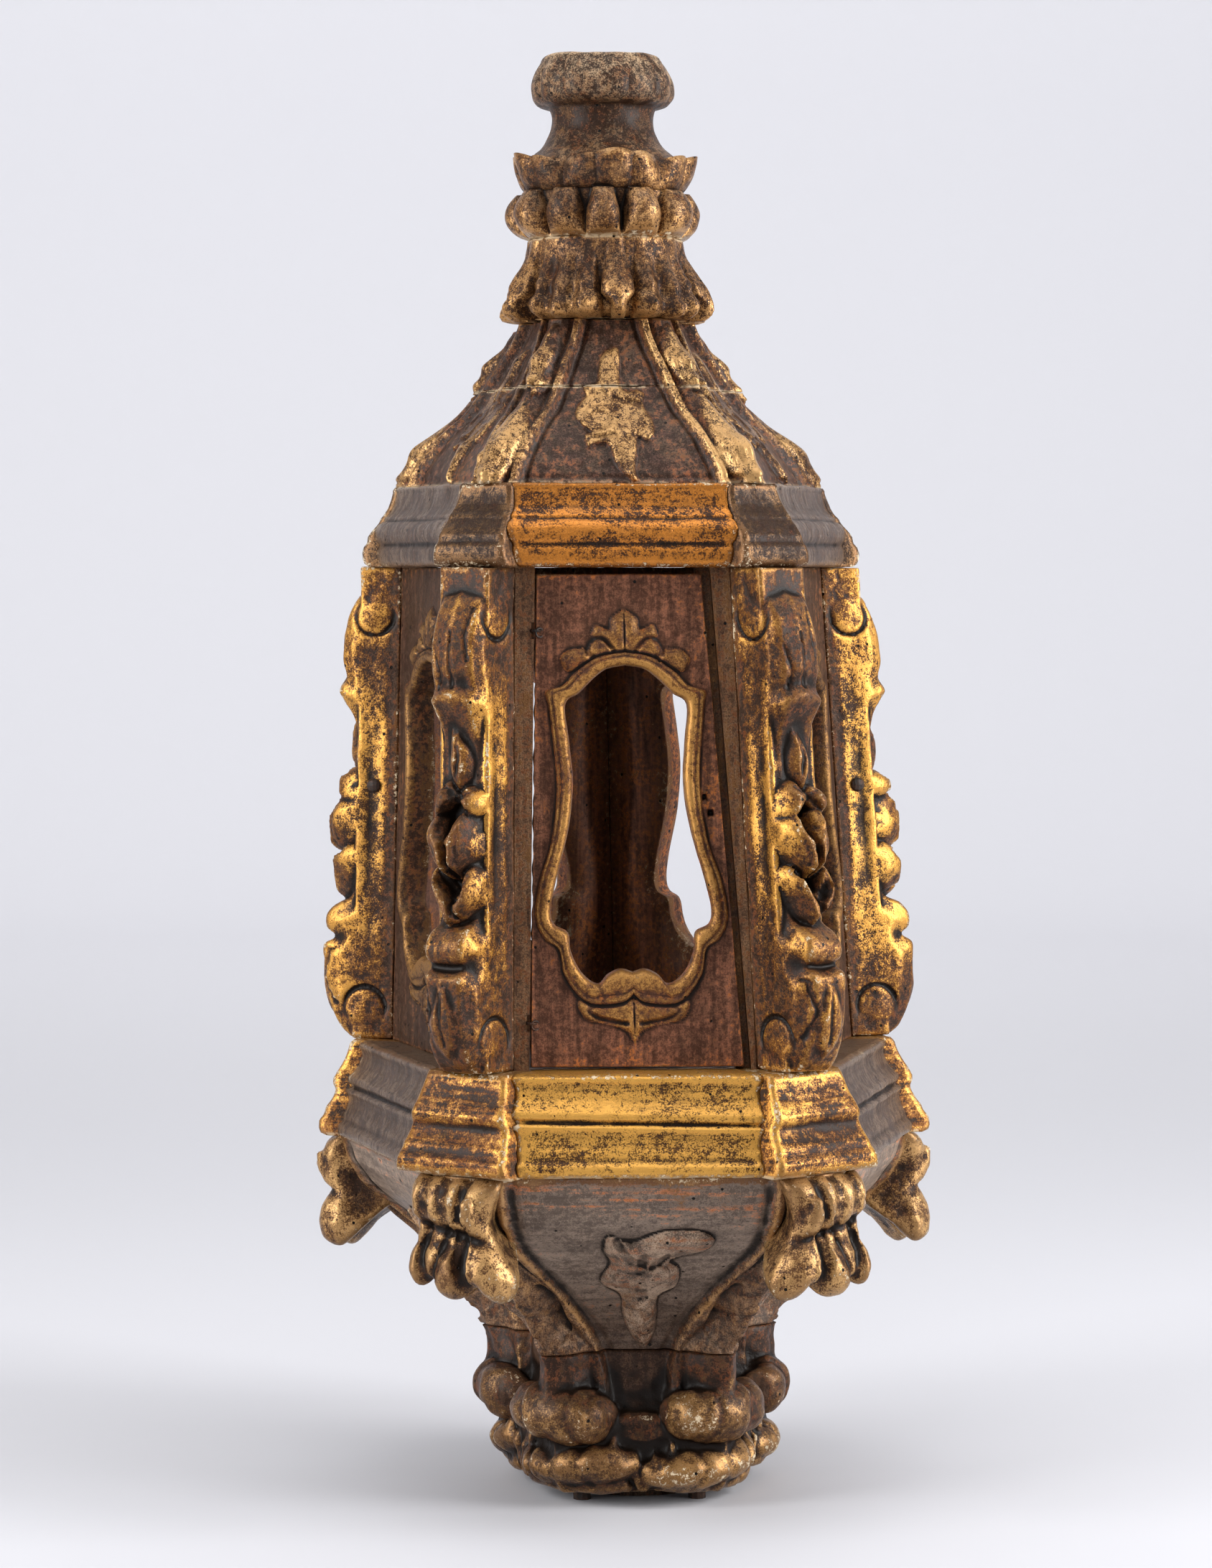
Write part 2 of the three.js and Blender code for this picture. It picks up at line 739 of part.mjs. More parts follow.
function doorPostGeometry(side) {
  if (side > 0) return boardGeometry(Z_BODY, Z_UPPER_CORNICE, { left: openingRight, stop: true });
  const post = boardGeometry(Z_BODY, Z_UPPER_CORNICE, { right: openingLeft });
  const cuts = Object.values(EYE_HEIGHTS).flatMap((z) => [
    notch(EYE_RADIUS, z),
    wireHole(z, POST_SHANK_ANGLE, EYE_RADIUS + EYE_SHANK, 0),
  ]);
  return cut(post, ...cuts);
}

// The chain of buds carved up a bracket, and the scroll eyes on its sides
const BUDS = [
  { height: 160, out: 24, half: 8, reach: 8, rise: 11 },
  { height: 143, out: 26, half: 13, reach: 12, rise: 9 },
  { height: 117, out: 29, half: 14, reach: 15.5, rise: 14 },
  { height: 95, out: 27, half: 13, reach: 15, rise: 12 },
];
const SCROLL_EYES = [
  { height: 240, out: 16 },
  { height: 14, out: 19 },
];

const bracketRoot = (z) => leaning(CORNER_FLAT, z) + GLUE_GAP;

function bracketGeometry() {
  const carved = stretched(BRACKET_PROFILE, Z_BODY, Z_UPPER_CORNICE);
  const outline = [[0, Z_UPPER_CORNICE], [0, Z_BODY], ...carved];
  const side = (w) => ([out, z]) => [w, -(bracketRoot(z) + out), z];
  const fin = between(outline, side(-BRACKET_HALF_WIDTH), side(BRACKET_HALF_WIDTH));
  const buds = BUDS.map(({ height, out, half, reach, rise }) => {
    const z = boardHeight(height);
    return ellipsoid(half, reach, rise, [0, -(bracketRoot(z) + out), z]);
  });
  const eyes = SCROLL_EYES.map(({ height, out }) => {
    const z = boardHeight(height);
    return cylinder(SCROLL_EYE_RADIUS, 2 * (BRACKET_HALF_WIDTH + SCROLL_EYE_PROUD), 12)
      .rotateZ(Math.PI / 2)
      .translate(0, -(bracketRoot(z) + out), z);
  });
  return joined(fin, ...buds, ...eyes);
}

// The nail stands on the side of the bracket that faces the front: side is -1 or 1 in the bracket's own frame
function nailPlace(side) {
  const z = boardHeight(NAIL_HEIGHT);
  return [side * BRACKET_HALF_WIDTH, -(bracketRoot(z) + NAIL_OUT), z];
}

function nailGeometry(side) {
  const dome = solidOf(ellipsoid(NAIL_PROUD, NAIL_RADIUS, NAIL_RADIUS, [side * GLUE_GAP, 0, 0]));
  const block = 4 * NAIL_RADIUS;
  const inner = new THREE.BoxGeometry(block, block, block).translate(side * (GLUE_GAP - block / 2), 0, 0);
  const cap = geometryOf(dome.subtract(solidOf(inner)));
  const length = NAIL_SHANK_LENGTH + NAIL_PROUD / 2;
  const pin = cylinder(NAIL_SHANK_RADIUS, length, 8)
    .rotateZ(Math.PI / 2)
    .translate(side * (GLUE_GAP + NAIL_PROUD / 2 - length / 2), 0, 0);
  return joined(cap, pin).translate(...nailPlace(side));
}

function nailHole(side) {
  const length = 2 * (NAIL_SHANK_LENGTH + GLUE_GAP);
  return cylinder(NAIL_SHANK_RADIUS + GLUE_GAP, length, 8).rotateZ(Math.PI / 2).translate(...nailPlace(side));
}

// Bowl: round at the top edge of each face and gathered into leaves on the corners
const BOWL_FLAT = [
  [55, 0],
  [58, 11],
  [68, 24],
  [82, 38],
  [98, 52],
  [114, 66],
  [130, 80],
  [140, 94],
  [144, 108],
];
const BOWL_CORNER = [
  [78, 0],
  [84, 11],
  [93, 24],
  [104, 38],
  [118, 52],
  [134, 66],
  [150, 80],
  [160, 94],
  [166, 108],
];
const BOWL_NECK = { flat: 55, corner: 78 };
const BOWL_OVERHANG = { flat: 27.8, corner: 34 };
const bowlFlatSpread = spread(BOWL_FLAT, BOWL_NECK.flat, BODY_FLAT.bottom + BOWL_OVERHANG.flat);
const bowlCornerSpread = spread(BOWL_CORNER, BOWL_NECK.corner, CORNER_FLAT.bottom + BOWL_OVERHANG.corner);
const bowlFlatPoints = stretched(bowlFlatSpread, Z_BOWL, Z_LOWER_CORNICE);
const bowlFlat = profileAt(bowlFlatPoints);
const bowlCorner = profileAt(stretched(bowlCornerSpread, Z_BOWL, Z_LOWER_CORNICE));

function bowlRadius(phi, z) {
  const off = offFace(phi);
  const flat = bowlFlat(z) / Math.cos(off);
  const corner = bowlCorner(z) / Math.cos((HALF_TURN - off) * 0.6);
  return lerp(flat, corner, smoothstep(0.24, 0.5, off));
}

function bowlGeometry() {
  const rows = levelsOf(bowlFlatPoints).map((z) => [(phi) => bowlRadius(phi, z), z]);
  return joined(tier(rows, 50), ...FACE_NAMES.map((_, k) => bowlLeafGeometry().rotateZ(k * TURN)));
}

// The leaf carved on a bowl face, as a raised outline [across, up], below a plain band
const BOWL_LEAF = [
  [2, 12],
  [8, 22],
  [9, 32],
  [17, 40],
  [18, 52],
  [14, 58],
  [28, 64],
  [33, 71],
  [26, 77],
  [10, 77],
  [-4, 70],
  [-14, 74],
  [-16, 64],
  [-13, 56],
  [-17, 44],
  [-8, 35],
  [-5, 20],
];
const BOWL_BAND = 31;

function bowlLeafGeometry() {
  const outline = stretched(BOWL_LEAF, Z_BOWL, Z_LOWER_CORNICE - BOWL_BAND);
  const at = (depth) => ([x, z]) => [x, -(bowlFlat(z) + depth), z];
  return between(outline, at(-6), at(4));
}

// Leaf drops: gathered acanthus that hangs off each corner of the lower cornice over the bowl
// The profile is [out from the body's lower corner, height above the drop's lowest point]
const DROP_LENGTH = 67;
const DROP_PROFILE = [
  [38, 67],
  [46, 62],
  [50, 55],
  [49, 45],
  [43, 37],
  [41, 31],
  [46, 24],
  [47, 15],
  [45, 6],
  [37, 0],
  [29, 0],
  [22, 5],
  [18, 13],
  [10, 16],
];
const DROP_HALF_WIDTH = { top: 31, bottom: 37 };
const DROP_ROOT_GAP = 2;
const FLUTE_OUT = 12;
const FLUTE_RADIUS = 5;

function leafDropGeometry() {
  const z0 = Z_LOWER_CORNICE - DROP_LENGTH;
  const carved = stretched(DROP_PROFILE, z0, Z_LOWER_CORNICE).map(([out, z]) => [CORNER_FLAT.bottom + out, z]);
  const hookTop = carved.at(-1)[1];
  const steps = [0.06, 0.23, 0.4, 0.57, 0.76, 1];
  const rootLevels = steps.map((t) => lerp(hookTop, Z_LOWER_CORNICE, t));
  const root = rootLevels.map((z) => [bowlCorner(z) + DROP_ROOT_GAP, z]);
  const waist = [lerp(z0, Z_LOWER_CORNICE, 0.22), lerp(z0, Z_LOWER_CORNICE, 0.6)];
  const halfAt = (z) => lerp(DROP_HALF_WIDTH.bottom, DROP_HALF_WIDTH.top, smoothstep(...waist, z));
  const side = (sign) => ([r, z]) => [sign * halfAt(z), -r, z];
  const body = between([...carved, ...root], side(-1), side(1));
  const outermost = Math.max(...carved.map(([r]) => r));
  const flutes = [-FLUTE_OUT, FLUTE_OUT].map((x) => {
    const flute = cylinder(FLUTE_RADIUS, 2 * DROP_LENGTH, 8).rotateX(Math.PI / 2);
    return flute.translate(x, -outermost - 1, z0 + DROP_LENGTH / 2);
  });
  return cut(body, ...flutes);
}

// Foot: three rolled volutes on each corner above a ring of leaf tongues
const ROLLS = 3 * SIDES;
const FOOT_CORNER = [
  [64, 0],
  [77, 6],
  [86, 14],
  [87, 20],
  [85, 25],
  [93, 32],
  [96, 41],
  [92, 50],
  [83, 58],
  [77, 68],
  [77, 78],
];
const FOOT_FLAT = [
  [57, 0],
  [64, 6],
  [69, 14],
  [68, 20],
  [65, 25],
  [68, 32],
  [66, 41],
  [59, 50],
  [55, 58],
  [55, 78],
];
const ROLL_RELIEF = 3.5;
const TONGUE_RELIEF = 3;
const footCornerPoints = stretched(FOOT_CORNER, Z_FOOT, Z_BOWL);
const footCorner = profileAt(footCornerPoints);
const footFlat = profileAt(stretched(FOOT_FLAT, Z_FOOT, Z_BOWL));

function footRadius(phi, z) {
  const off = offFace(phi);
  const base = lerp(footFlat(z), footCorner(z), smoothstep(0.16, 0.46, off));
  const up = (z - Z_FOOT) / FOOT_HEIGHT;
  const rolls = smoothstep(0.31, 0.46, up) * (1 - smoothstep(0.67, 0.79, up)) * smoothstep(0.2, 0.3, off);
  const tongues = 1 - smoothstep(0.23, 0.36, up);
  const rolled = ROLL_RELIEF * rolls * Math.cos(ROLLS * (phi - HALF_TURN));
  return base + rolled + TONGUE_RELIEF * tongues * Math.cos(2 * SIDES * phi);
}

function footGeometry() {
  return tier(levelsOf(footCornerPoints).map((z) => [(phi) => footRadius(phi, z), z]), 60);
}

function candleCupGeometry() {
  const profile = [
    [0, 0],
    [CUP_FLANGE_RADIUS, 0],
    [CUP_FLANGE_RADIUS, CUP_FLANGE_HEIGHT],
    [CUP_RADIUS - 3, CUP_FLANGE_HEIGHT + 2],
    [CUP_RADIUS - 3, CUP_HEIGHT - 6],
    [CUP_RADIUS, CUP_HEIGHT - 3],
    [CUP_RADIUS, CUP_HEIGHT],
    [CANDLE_BORE_RADIUS, CUP_HEIGHT],
    [CANDLE_BORE_RADIUS, CUP_HEIGHT - CANDLE_BORE_DEPTH],
    [0, CUP_HEIGHT - CANDLE_BORE_DEPTH],
  ].map(([x, y]) => new THREE.Vector2(x, y));
  return new THREE.LatheGeometry(profile, 16).rotateX(Math.PI / 2).translate(0, 0, Z_BODY);
}

const lantern = new THREE.Group();
const toCrooked = new THREE.Matrix4().set(1, 0, -LEAN, 0, 0, 1, 0, 0, 0, 0, 1, 0, 0, 0, 0, 1);

// Each piece is made upright at the front, turned to its place and then leaned with the rest of the stack
function add(name, geometry, finish, turn = 0) {
  const mesh = new THREE.Mesh(geometry.clone().rotateZ(turn).applyMatrix4(toCrooked), finish);
  mesh.name = name;
  lantern.add(mesh);
}

// Chimney and dome
add("chimney_collar", collarGeometry(), GILT);
add("leaf_skirt", skirtGeometry(), GILT);
const upperBore = [[SKIRT_BORE, Z_SKIRT], [DOME_BORE_SPLIT, Z_DOME_SPLIT]];
const lowerBore = [[DOME_BORE_SPLIT, Z_DOME_SPLIT], [DOME_BORE_BOTTOM, Z_DOME]];
add("dome_upper", domeBlockGeometry(Z_DOME_SPLIT, Z_SKIRT, upperBore), GILT);
add("dome_lower", domeBlockGeometry(Z_DOME, Z_DOME_SPLIT, lowerBore), GILT);

// Upper cornice
const upperHalf = blockHalfAt(UPPER_BLOCK_HALF, Z_UPPER_CORNICE, Z_DOME);
const upperMoulding = corniceSection(UPPER_MOULDING, BODY_FLAT.top, MOULDING_SEAT, Z_UPPER_CORNICE, Z_DOME);
const upperBlock = corniceSection(UPPER_BLOCK, CORNER_FLAT.top, BLOCK_SEAT, Z_UPPER_CORNICE, Z_DOME);
const crownBoard = fiveSidedBoard(
  BODY_FLAT.top - MOULDING_SEAT,
  CORNER_FLAT.top - BLOCK_SEAT,
  Z_DOME - CROWN_BOARD_THICKNESS,
  Z_DOME,
);
const throat = cylinder(THROAT_RADIUS, 4 * CROWN_BOARD_THICKNESS, 32).rotateX(Math.PI / 2);
add("crown_board", cut(crownBoard, throat.translate(0, 0, Z_DOME)), BARE_WOOD);
FACE_NAMES.forEach((face, k) => {
  add("upper_moulding_" + face, mouldingGeometry(upperMoulding, upperHalf), GILT, k * TURN);
});
CORNER_NAMES.forEach((corner, k) => {
  add("upper_block_" + corner, blockGeometry(upperBlock, upperHalf), GILT, (k + 0.5) * TURN);
});

// Body
FACE_NAMES.slice(1).forEach((face, k) => {
  add("panel_" + face, fixedPanelGeometry(), DARK_WOOD, (k + 1) * TURN);
});
add("door_post_left", doorPostGeometry(-1), DARK_WOOD);
add("door_post_right", doorPostGeometry(1), DARK_WOOD);
CORNER_NAMES.forEach((corner, k) => {
  const nailSide = { left: 1, right: -1 }[corner];
  const bracket = bracketGeometry();
  add("bracket_" + corner, nailSide ? cut(bracket, nailHole(nailSide)) : bracket, GILT, (k + 0.5) * TURN);
  if (nailSide) add("bracket_nail_" + corner, nailGeometry(nailSide), IRON, (k + 0.5) * TURN);
});

// Door and hinges
add("door_panel", doorGeometry(), DARK_WOOD);
for (const [place, z] of Object.entries(EYE_HEIGHTS)) {
  const postEye = eyeGeometry(false).rotateZ(POST_SHANK_ANGLE).applyMatrix4(hingeFrame(z));
  const doorEye = eyeGeometry(true).rotateZ(DOOR_SHANK_ANGLE).applyMatrix4(hingeFrame(z));
  add("hinge_eye_post_" + place, postEye, IRON);
  add("hinge_eye_door_" + place, doorEye, IRON);
}

// Lamp room floor and candle cup
const floorBoard = fiveSidedBoard(
  BODY_FLAT.bottom - MOULDING_SEAT,
  CORNER_FLAT.bottom - BLOCK_SEAT,
  Z_BODY - FLOOR_BOARD_THICKNESS,
  Z_BODY,
);
add("floor_board", floorBoard, BARE_WOOD);
add("candle_cup", candleCupGeometry(), IRON);

// Lower cornice
const lowerHalf = blockHalfAt(LOWER_BLOCK_HALF, Z_LOWER_CORNICE, Z_BODY);
const lowerMoulding = corniceSection(LOWER_MOULDING, BODY_FLAT.bottom, MOULDING_SEAT, Z_LOWER_CORNICE, Z_BODY);
const lowerBlock = corniceSection(LOWER_BLOCK, CORNER_FLAT.bottom, BLOCK_SEAT, Z_LOWER_CORNICE, Z_BODY);
FACE_NAMES.forEach((face, k) => {
  add("lower_moulding_" + face, mouldingGeometry(lowerMoulding, lowerHalf), GILT, k * TURN);
});
CORNER_NAMES.forEach((corner, k) => {
  add("lower_block_" + corner, blockGeometry(lowerBlock, lowerHalf), GILT, (k + 0.5) * TURN);
});

// Bowl, leaf drops, foot and what it stands on
add("bowl_block", bowlGeometry(), DARK_WOOD);
CORNER_NAMES.forEach((corner, k) => {
  add("leaf_drop_" + corner, leafDropGeometry(), GILT, (k + 0.5) * TURN);
});
add("foot_block", footGeometry(), GILT);
const disc = cylinder(DISC_RADIUS, STUB_HEIGHT, 24).rotateX(Math.PI / 2);
add("foot_disc", disc.translate(0, 0, STUB_HEIGHT / 2), BARE_WOOD);
["front_right", "back", "left"].forEach((place, k) => {
  const stub = cylinder(STUB_RADIUS, STUB_HEIGHT, 10).rotateX(Math.PI / 2);
  add("foot_stub_" + place, stub.translate(0, -STUB_RING, STUB_HEIGHT / 2), IRON, HALF_TURN + 2 * k * TURN);
});

export default lantern;
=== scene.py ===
"""Looks of a carved and gilded five-sided lantern that stands on its own foot.

Pieces are worked out in millimetres, upright and at the front, then turned to their face or corner, leaned
with the stack and brought to metres. The front faces -Y.
"""
import math

import bpy
import numpy as np
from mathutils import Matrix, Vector


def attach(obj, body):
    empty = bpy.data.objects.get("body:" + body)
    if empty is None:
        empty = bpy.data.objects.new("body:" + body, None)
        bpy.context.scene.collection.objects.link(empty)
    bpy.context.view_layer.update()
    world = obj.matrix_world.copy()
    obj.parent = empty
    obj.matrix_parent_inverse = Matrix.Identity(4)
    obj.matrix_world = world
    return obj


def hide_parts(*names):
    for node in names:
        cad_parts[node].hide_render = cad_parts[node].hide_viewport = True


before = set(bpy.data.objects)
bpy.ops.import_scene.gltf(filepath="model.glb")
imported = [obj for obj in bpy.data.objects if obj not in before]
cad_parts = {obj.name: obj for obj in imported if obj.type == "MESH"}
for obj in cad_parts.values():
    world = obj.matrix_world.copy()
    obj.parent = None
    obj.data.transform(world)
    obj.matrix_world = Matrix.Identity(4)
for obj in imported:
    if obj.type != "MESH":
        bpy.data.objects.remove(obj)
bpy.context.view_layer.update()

# What the looks share with the solids: the lean as sideways over up, then sizes in millimetres
LEAN = 0.0244
SIDES = 5
TURN = 2 * math.pi / SIDES
HALF_TURN = TURN / 2
SIN, COS = math.sin(HALF_TURN), math.cos(HALF_TURN)
FACES = ["front", "right", "back_right", "back_left", "left"]
CORNERS = ["front_right", "right", "back", "left", "front_left"]
Z_FOOT, Z_BOWL, Z_LOWER, Z_BODY, Z_UPPER = 6.0, 84.0, 192.0, 245.0, 513.0
Z_DOME, Z_SPLIT, Z_SKIRT, Z_TOP = 558.0, 612.0, 650.0, 800.0
BODY_HEIGHT = Z_UPPER - Z_BODY
GLUE_GAP, BORE = 0.3, 8
CORNER_CUT = 11.65
BODY_FLAT = (116.2, 106.2)
CORNER_FLAT = tuple(flat / COS - CORNER_CUT for flat in BODY_FLAT)
BOARD, DOOR_BOARD = 12.0, 9.0

TO_METRES = 0.001
FAR, TINY = 1e9, 1e-12


# Small helpers
def lerp(a, b, t):
    return a + (b - a) * t


def clip01(x):
    return np.clip(x, 0.0, 1.0)


def step(a, b, x):
    """0 before a, 1 after b, and smooth between them."""
    t = clip01((x - a) / (b - a))
    return t * t * (3 - 2 * t)


def bump(x, centre, width):
    """1 at the centre, falling smoothly to 0 at the given distance."""
    return 1 - step(0, 1, np.abs(x - centre) / width)


def mound(x, power, root):
    """A rounded hill over -1 to 1, flatter on top with a higher power and steeper with a smaller root."""
    return clip01(1 - np.abs(x) ** power) ** root


def curve(points):
    """Values by position, straight between the given (position, value) points."""
    xs, ys = np.array(sorted(points), float).T
    return lambda x: np.interp(x, xs, ys)


def smooth_curve(points, n=400):
    """A rounded version of a list of (position, value) points."""
    xs = np.linspace(points[0][0], points[-1][0], n)
    ys = curve(points)(xs)
    width = max(1, n // (len(points) * 3))
    kernel = np.hanning(2 * width + 3)[1:-1]
    pad = np.concatenate([2 * ys[0] - ys[width:0:-1], ys, 2 * ys[-1] - ys[-2:-width - 2:-1]])
    ys = np.convolve(pad, kernel / kernel.sum(), "valid")
    return lambda x: np.interp(x, xs, ys)


def spline(points, per=4, closed=False):
    """Points along a smooth line through the given ones."""
    p = np.array(points, float)
    n = len(p)
    out = []
    for i in range(n if closed else n - 1):
        p0 = p[(i - 1) % n] if closed or i > 0 else 2 * p[0] - p[1]
        p1, p2 = p[i], p[(i + 1) % n]
        p3 = p[(i + 2) % n] if closed or i < n - 2 else 2 * p[-1] - p[-2]
        for t in np.arange(per) / per:
            out.append(0.5 * (2 * p1 + (p2 - p0) * t + (2 * p0 - 5 * p1 + 4 * p2 - p3) * t * t
                              + (3 * p1 - p0 - 3 * p2 + p3) * t ** 3))
    return np.array(out if closed else out + [p[-1]])


def to_segment(x, y, start, end):
    """Squared distance to a straight piece of line, and the nearest place's share of the way along it."""
    (x0, y0), (x1, y1) = start, end
    dx, dy = x1 - x0, y1 - y0
    t = clip01(((x - x0) * dx + (y - y0) * dy) / (dx * dx + dy * dy + TINY))
    return (x - x0 - t * dx) ** 2 + (y - y0 - t * dy) ** 2, t


def outline_depth(points, x, y):
    """How deep each place lies inside a closed outline, negative outside it."""
    best = np.full(x.shape, FAR)
    inside = np.zeros(x.shape, bool)
    for (x0, y0), (x1, y1) in zip(points, np.roll(points, -1, 0)):
        best = np.minimum(best, to_segment(x, y, (x0, y0), (x1, y1))[0])
        crosses = (y0 > y) != (y1 > y)
        inside ^= crosses & (x < (x1 - x0) * (y - y0) / (y1 - y0 + TINY) + x0)
    d = np.sqrt(best)
    return np.where(inside, d, -d)


def vein(points, width, x, y):
    """A rounded ridge along an open line: 1 on it, 0 at its width, which may taper as (start, end)."""
    p = np.asarray(points, float)
    lengths = np.concatenate([[0], np.cumsum(np.linalg.norm(np.diff(p, axis=0), axis=1))])
    best = np.full(x.shape, FAR)
    along = np.zeros(x.shape)
    for i in range(len(p) - 1):
        d, t = to_segment(x, y, p[i], p[i + 1])
        nearer = d < best
        best = np.where(nearer, d, best)
        along = np.where(nearer, lerp(lengths[i], lengths[i + 1], t) / lengths[-1], along)
    w = lerp(*width, along) if isinstance(width, tuple) else width
    return np.sqrt(clip01(1 - best / w ** 2))


def veins(lines, x, y):
    """Sum of ridges and grooves, each given as (points, width, height)."""
    return sum(vein(points, width, x, y) * high for points, width, high in lines)


LATTICE_SIZE = 32
LATTICE = np.random.default_rng(7).random((LATTICE_SIZE, LATTICE_SIZE, LATTICE_SIZE))
LATTICE_SHIFT = np.array([11.3, 5.7, 3.1])


def noise(p, size, seed=0):
    """Smooth random values from -1 to 1 with features of the given size."""
    q = np.asarray(p) / size + LATTICE_SHIFT * (seed + 1)
    cell = np.floor(q).astype(int)
    f = q - cell
    f = f * f * (3 - 2 * f)
    total = 0
    for corner in np.ndindex(2, 2, 2):
        near = np.where(corner, f, 1 - f).prod(-1)
        i, j, k = np.moveaxis((cell + corner) % LATTICE_SIZE, -1, 0)
        total = total + near * LATTICE[i, j, k]
    return 2 * total - 1


# Places round the axis, with angles counted from the front
def all_round(count):
    return np.arange(count) / count * 2 * math.pi


def about_axis(r, phi, z):
    """Points at a distance and an angle round the axis, at a height."""
    return np.stack(np.broadcast_arrays(r * np.sin(phi), -r * np.cos(phi), z), -1)


def nearest_face(phi):
    """Angle from the middle of the nearest face, and that face's number."""
    number = np.round(phi / TURN)
    return phi - number * TURN, number.astype(int) % SIDES


def nearest_corner(phi):
    """Angle from the nearest corner, and that corner's number."""
    number = np.floor(phi / TURN)
    return phi - (number + 0.5) * TURN, number.astype(int) % SIDES


# Making meshes
def in_place(points, turn=0.0):
    """Millimetre points made upright at the front, turned to their place, leaned and in metres."""
    c, s = math.cos(turn), math.sin(turn)
    x, y, z = np.moveaxis(points, -1, 0)
    return np.stack([x * c - y * s - LEAN * z, x * s + y * c, z], -1) * TO_METRES


def mesh_normals(points, faces):
    triangles = np.concatenate([faces[:, [0, 1, 2]], faces[:, [0, 2, 3]]])
    a, b, c = (points[triangles[:, k]] for k in range(3))
    across = np.cross(b - a, c - a)
    out = np.zeros_like(points)
    for k, axis in np.ndindex(3, 3):
        out[:, axis] += np.bincount(triangles[:, k], across[:, axis], len(points))
    return out / (np.linalg.norm(out, axis=1, keepdims=True) + TINY)


def relief_of(points, faces, reach):
    """How far each point stands out from its surroundings, in millimetres, positive on ridges."""
    one, other = np.concatenate([faces[:, [k, (k + 1) % 4]] for k in range(4)]).T
    degree = np.bincount(np.concatenate([one, other]), minlength=len(points)).astype(float) + TINY
    edge = np.linalg.norm(points[one] - points[other], axis=1).mean()
    soft = points.copy()
    for _ in range(int(np.clip((reach / edge) ** 2, 3, 60))):
        mean = np.empty_like(soft)
        for axis in range(3):
            mean[:, axis] = (np.bincount(one, soft[other, axis], len(soft))
                             + np.bincount(other, soft[one, axis], len(soft))) / degree
        soft = lerp(soft, mean, 0.8)
    return ((points - soft) * mesh_normals(points, faces)).sum(1)


def make_mesh(name, points, faces, finish, nodes, body="case", turn=0.0, gild=0.8, dust=0.2,
              reach=4.0, uneven=0.35, seed=0, marks=None, joint=None, flat=0):
    """One piece: millimetre points at the front, replaced nodes, and its painted wear.

    reach is the size of the forms whose ridges wear, and uneven how far the hand-cut surface strays.
    joint is the height at which the carving runs on into the next piece, so it stays even and unworn there.
    flat is how many of the last faces are sawn flat, with sharp edges.
    """
    world = in_place(points, turn) / TO_METRES
    away = noise(world, 17, seed) * 0.7 + noise(world, 6, seed + 1) * 0.3
    if joint:
        away = away * (1 - bump(points[:, 2], joint, 14))
    points = points + mesh_normals(points, faces) * (away * uneven)[:, None]
    points[:, 2] = np.minimum(points[:, 2], Z_TOP - 0.1)
    ridge = 0
    for share, radius in ((0.6, reach), (0.5, reach * 2.6)):
        height = relief_of(points, faces, radius)
        ridge = ridge + share * height / max(np.percentile(np.abs(height), 93), 0.25)
    if joint:
        ridge = ridge * (1 - bump(points[:, 2], joint, 26))
    mesh = bpy.data.meshes.new(name)
    mesh.vertices.add(len(points))
    mesh.vertices.foreach_set("co", in_place(points, turn).astype(np.float32).ravel())
    mesh.loops.add(faces.size)
    mesh.loops.foreach_set("vertex_index", faces.astype(np.int32).ravel())
    mesh.polygons.add(len(faces))
    mesh.polygons.foreach_set("loop_start", np.arange(0, faces.size, 4, dtype=np.int32))
    mesh.polygons.foreach_set("use_smooth", np.arange(len(faces)) < len(faces) - flat)
    mesh.update(calc_edges=True)
    mesh.validate()
    wear = {"ridge": clip01(0.5 + ridge / 2), "gild": gild, "dust": dust, **(marks or {})}
    for key, values in wear.items():
        data = np.broadcast_to(np.asarray(values, np.float32), (len(points),))
        mesh.attributes.new(key, "FLOAT", "POINT").data.foreach_set("value", np.ascontiguousarray(data))
    mesh.materials.append(finish)
    piece = bpy.data.objects.new(name, mesh)
    bpy.context.scene.collection.objects.link(piece)
    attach(piece, body)
    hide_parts(*nodes)


def outward(points, faces):
    """The same faces, all turned outwards."""
    a, b, c, d = (points[faces[:, k]] for k in range(4))
    volume = (a * np.cross(b, c)).sum() + (a * np.cross(c, d)).sum()
    return faces if volume > 0 else faces[:, ::-1]


def grid_faces(rows, cols, wrap_rows=False, wrap_cols=False):
    """Quads over rows of points, closed from the last row to the first or round each row where wrapped."""
    r, c = np.meshgrid(np.arange(rows - 1 + wrap_rows), np.arange(cols - 1 + wrap_cols), indexing="ij")
    r2, c2 = (r + 1) % rows, (c + 1) % cols
    return np.stack([r * cols + c, r2 * cols + c, r2 * cols + c2, r * cols + c2], -1).reshape(-1, 4)


def hollow_ring(r, phi, levels, bores):
    """A body round the axis, given from its top level down, and bored to (top radius, foot radius)."""
    inner = [about_axis(bores[1], phi, levels[-1]), about_axis(bores[0], phi, levels[0])]
    points = np.concatenate([about_axis(r, phi, levels[:, None]).reshape(-1, 3), *inner])
    return points, outward(points, grid_faces(len(levels) + 2, len(phi), True, True))


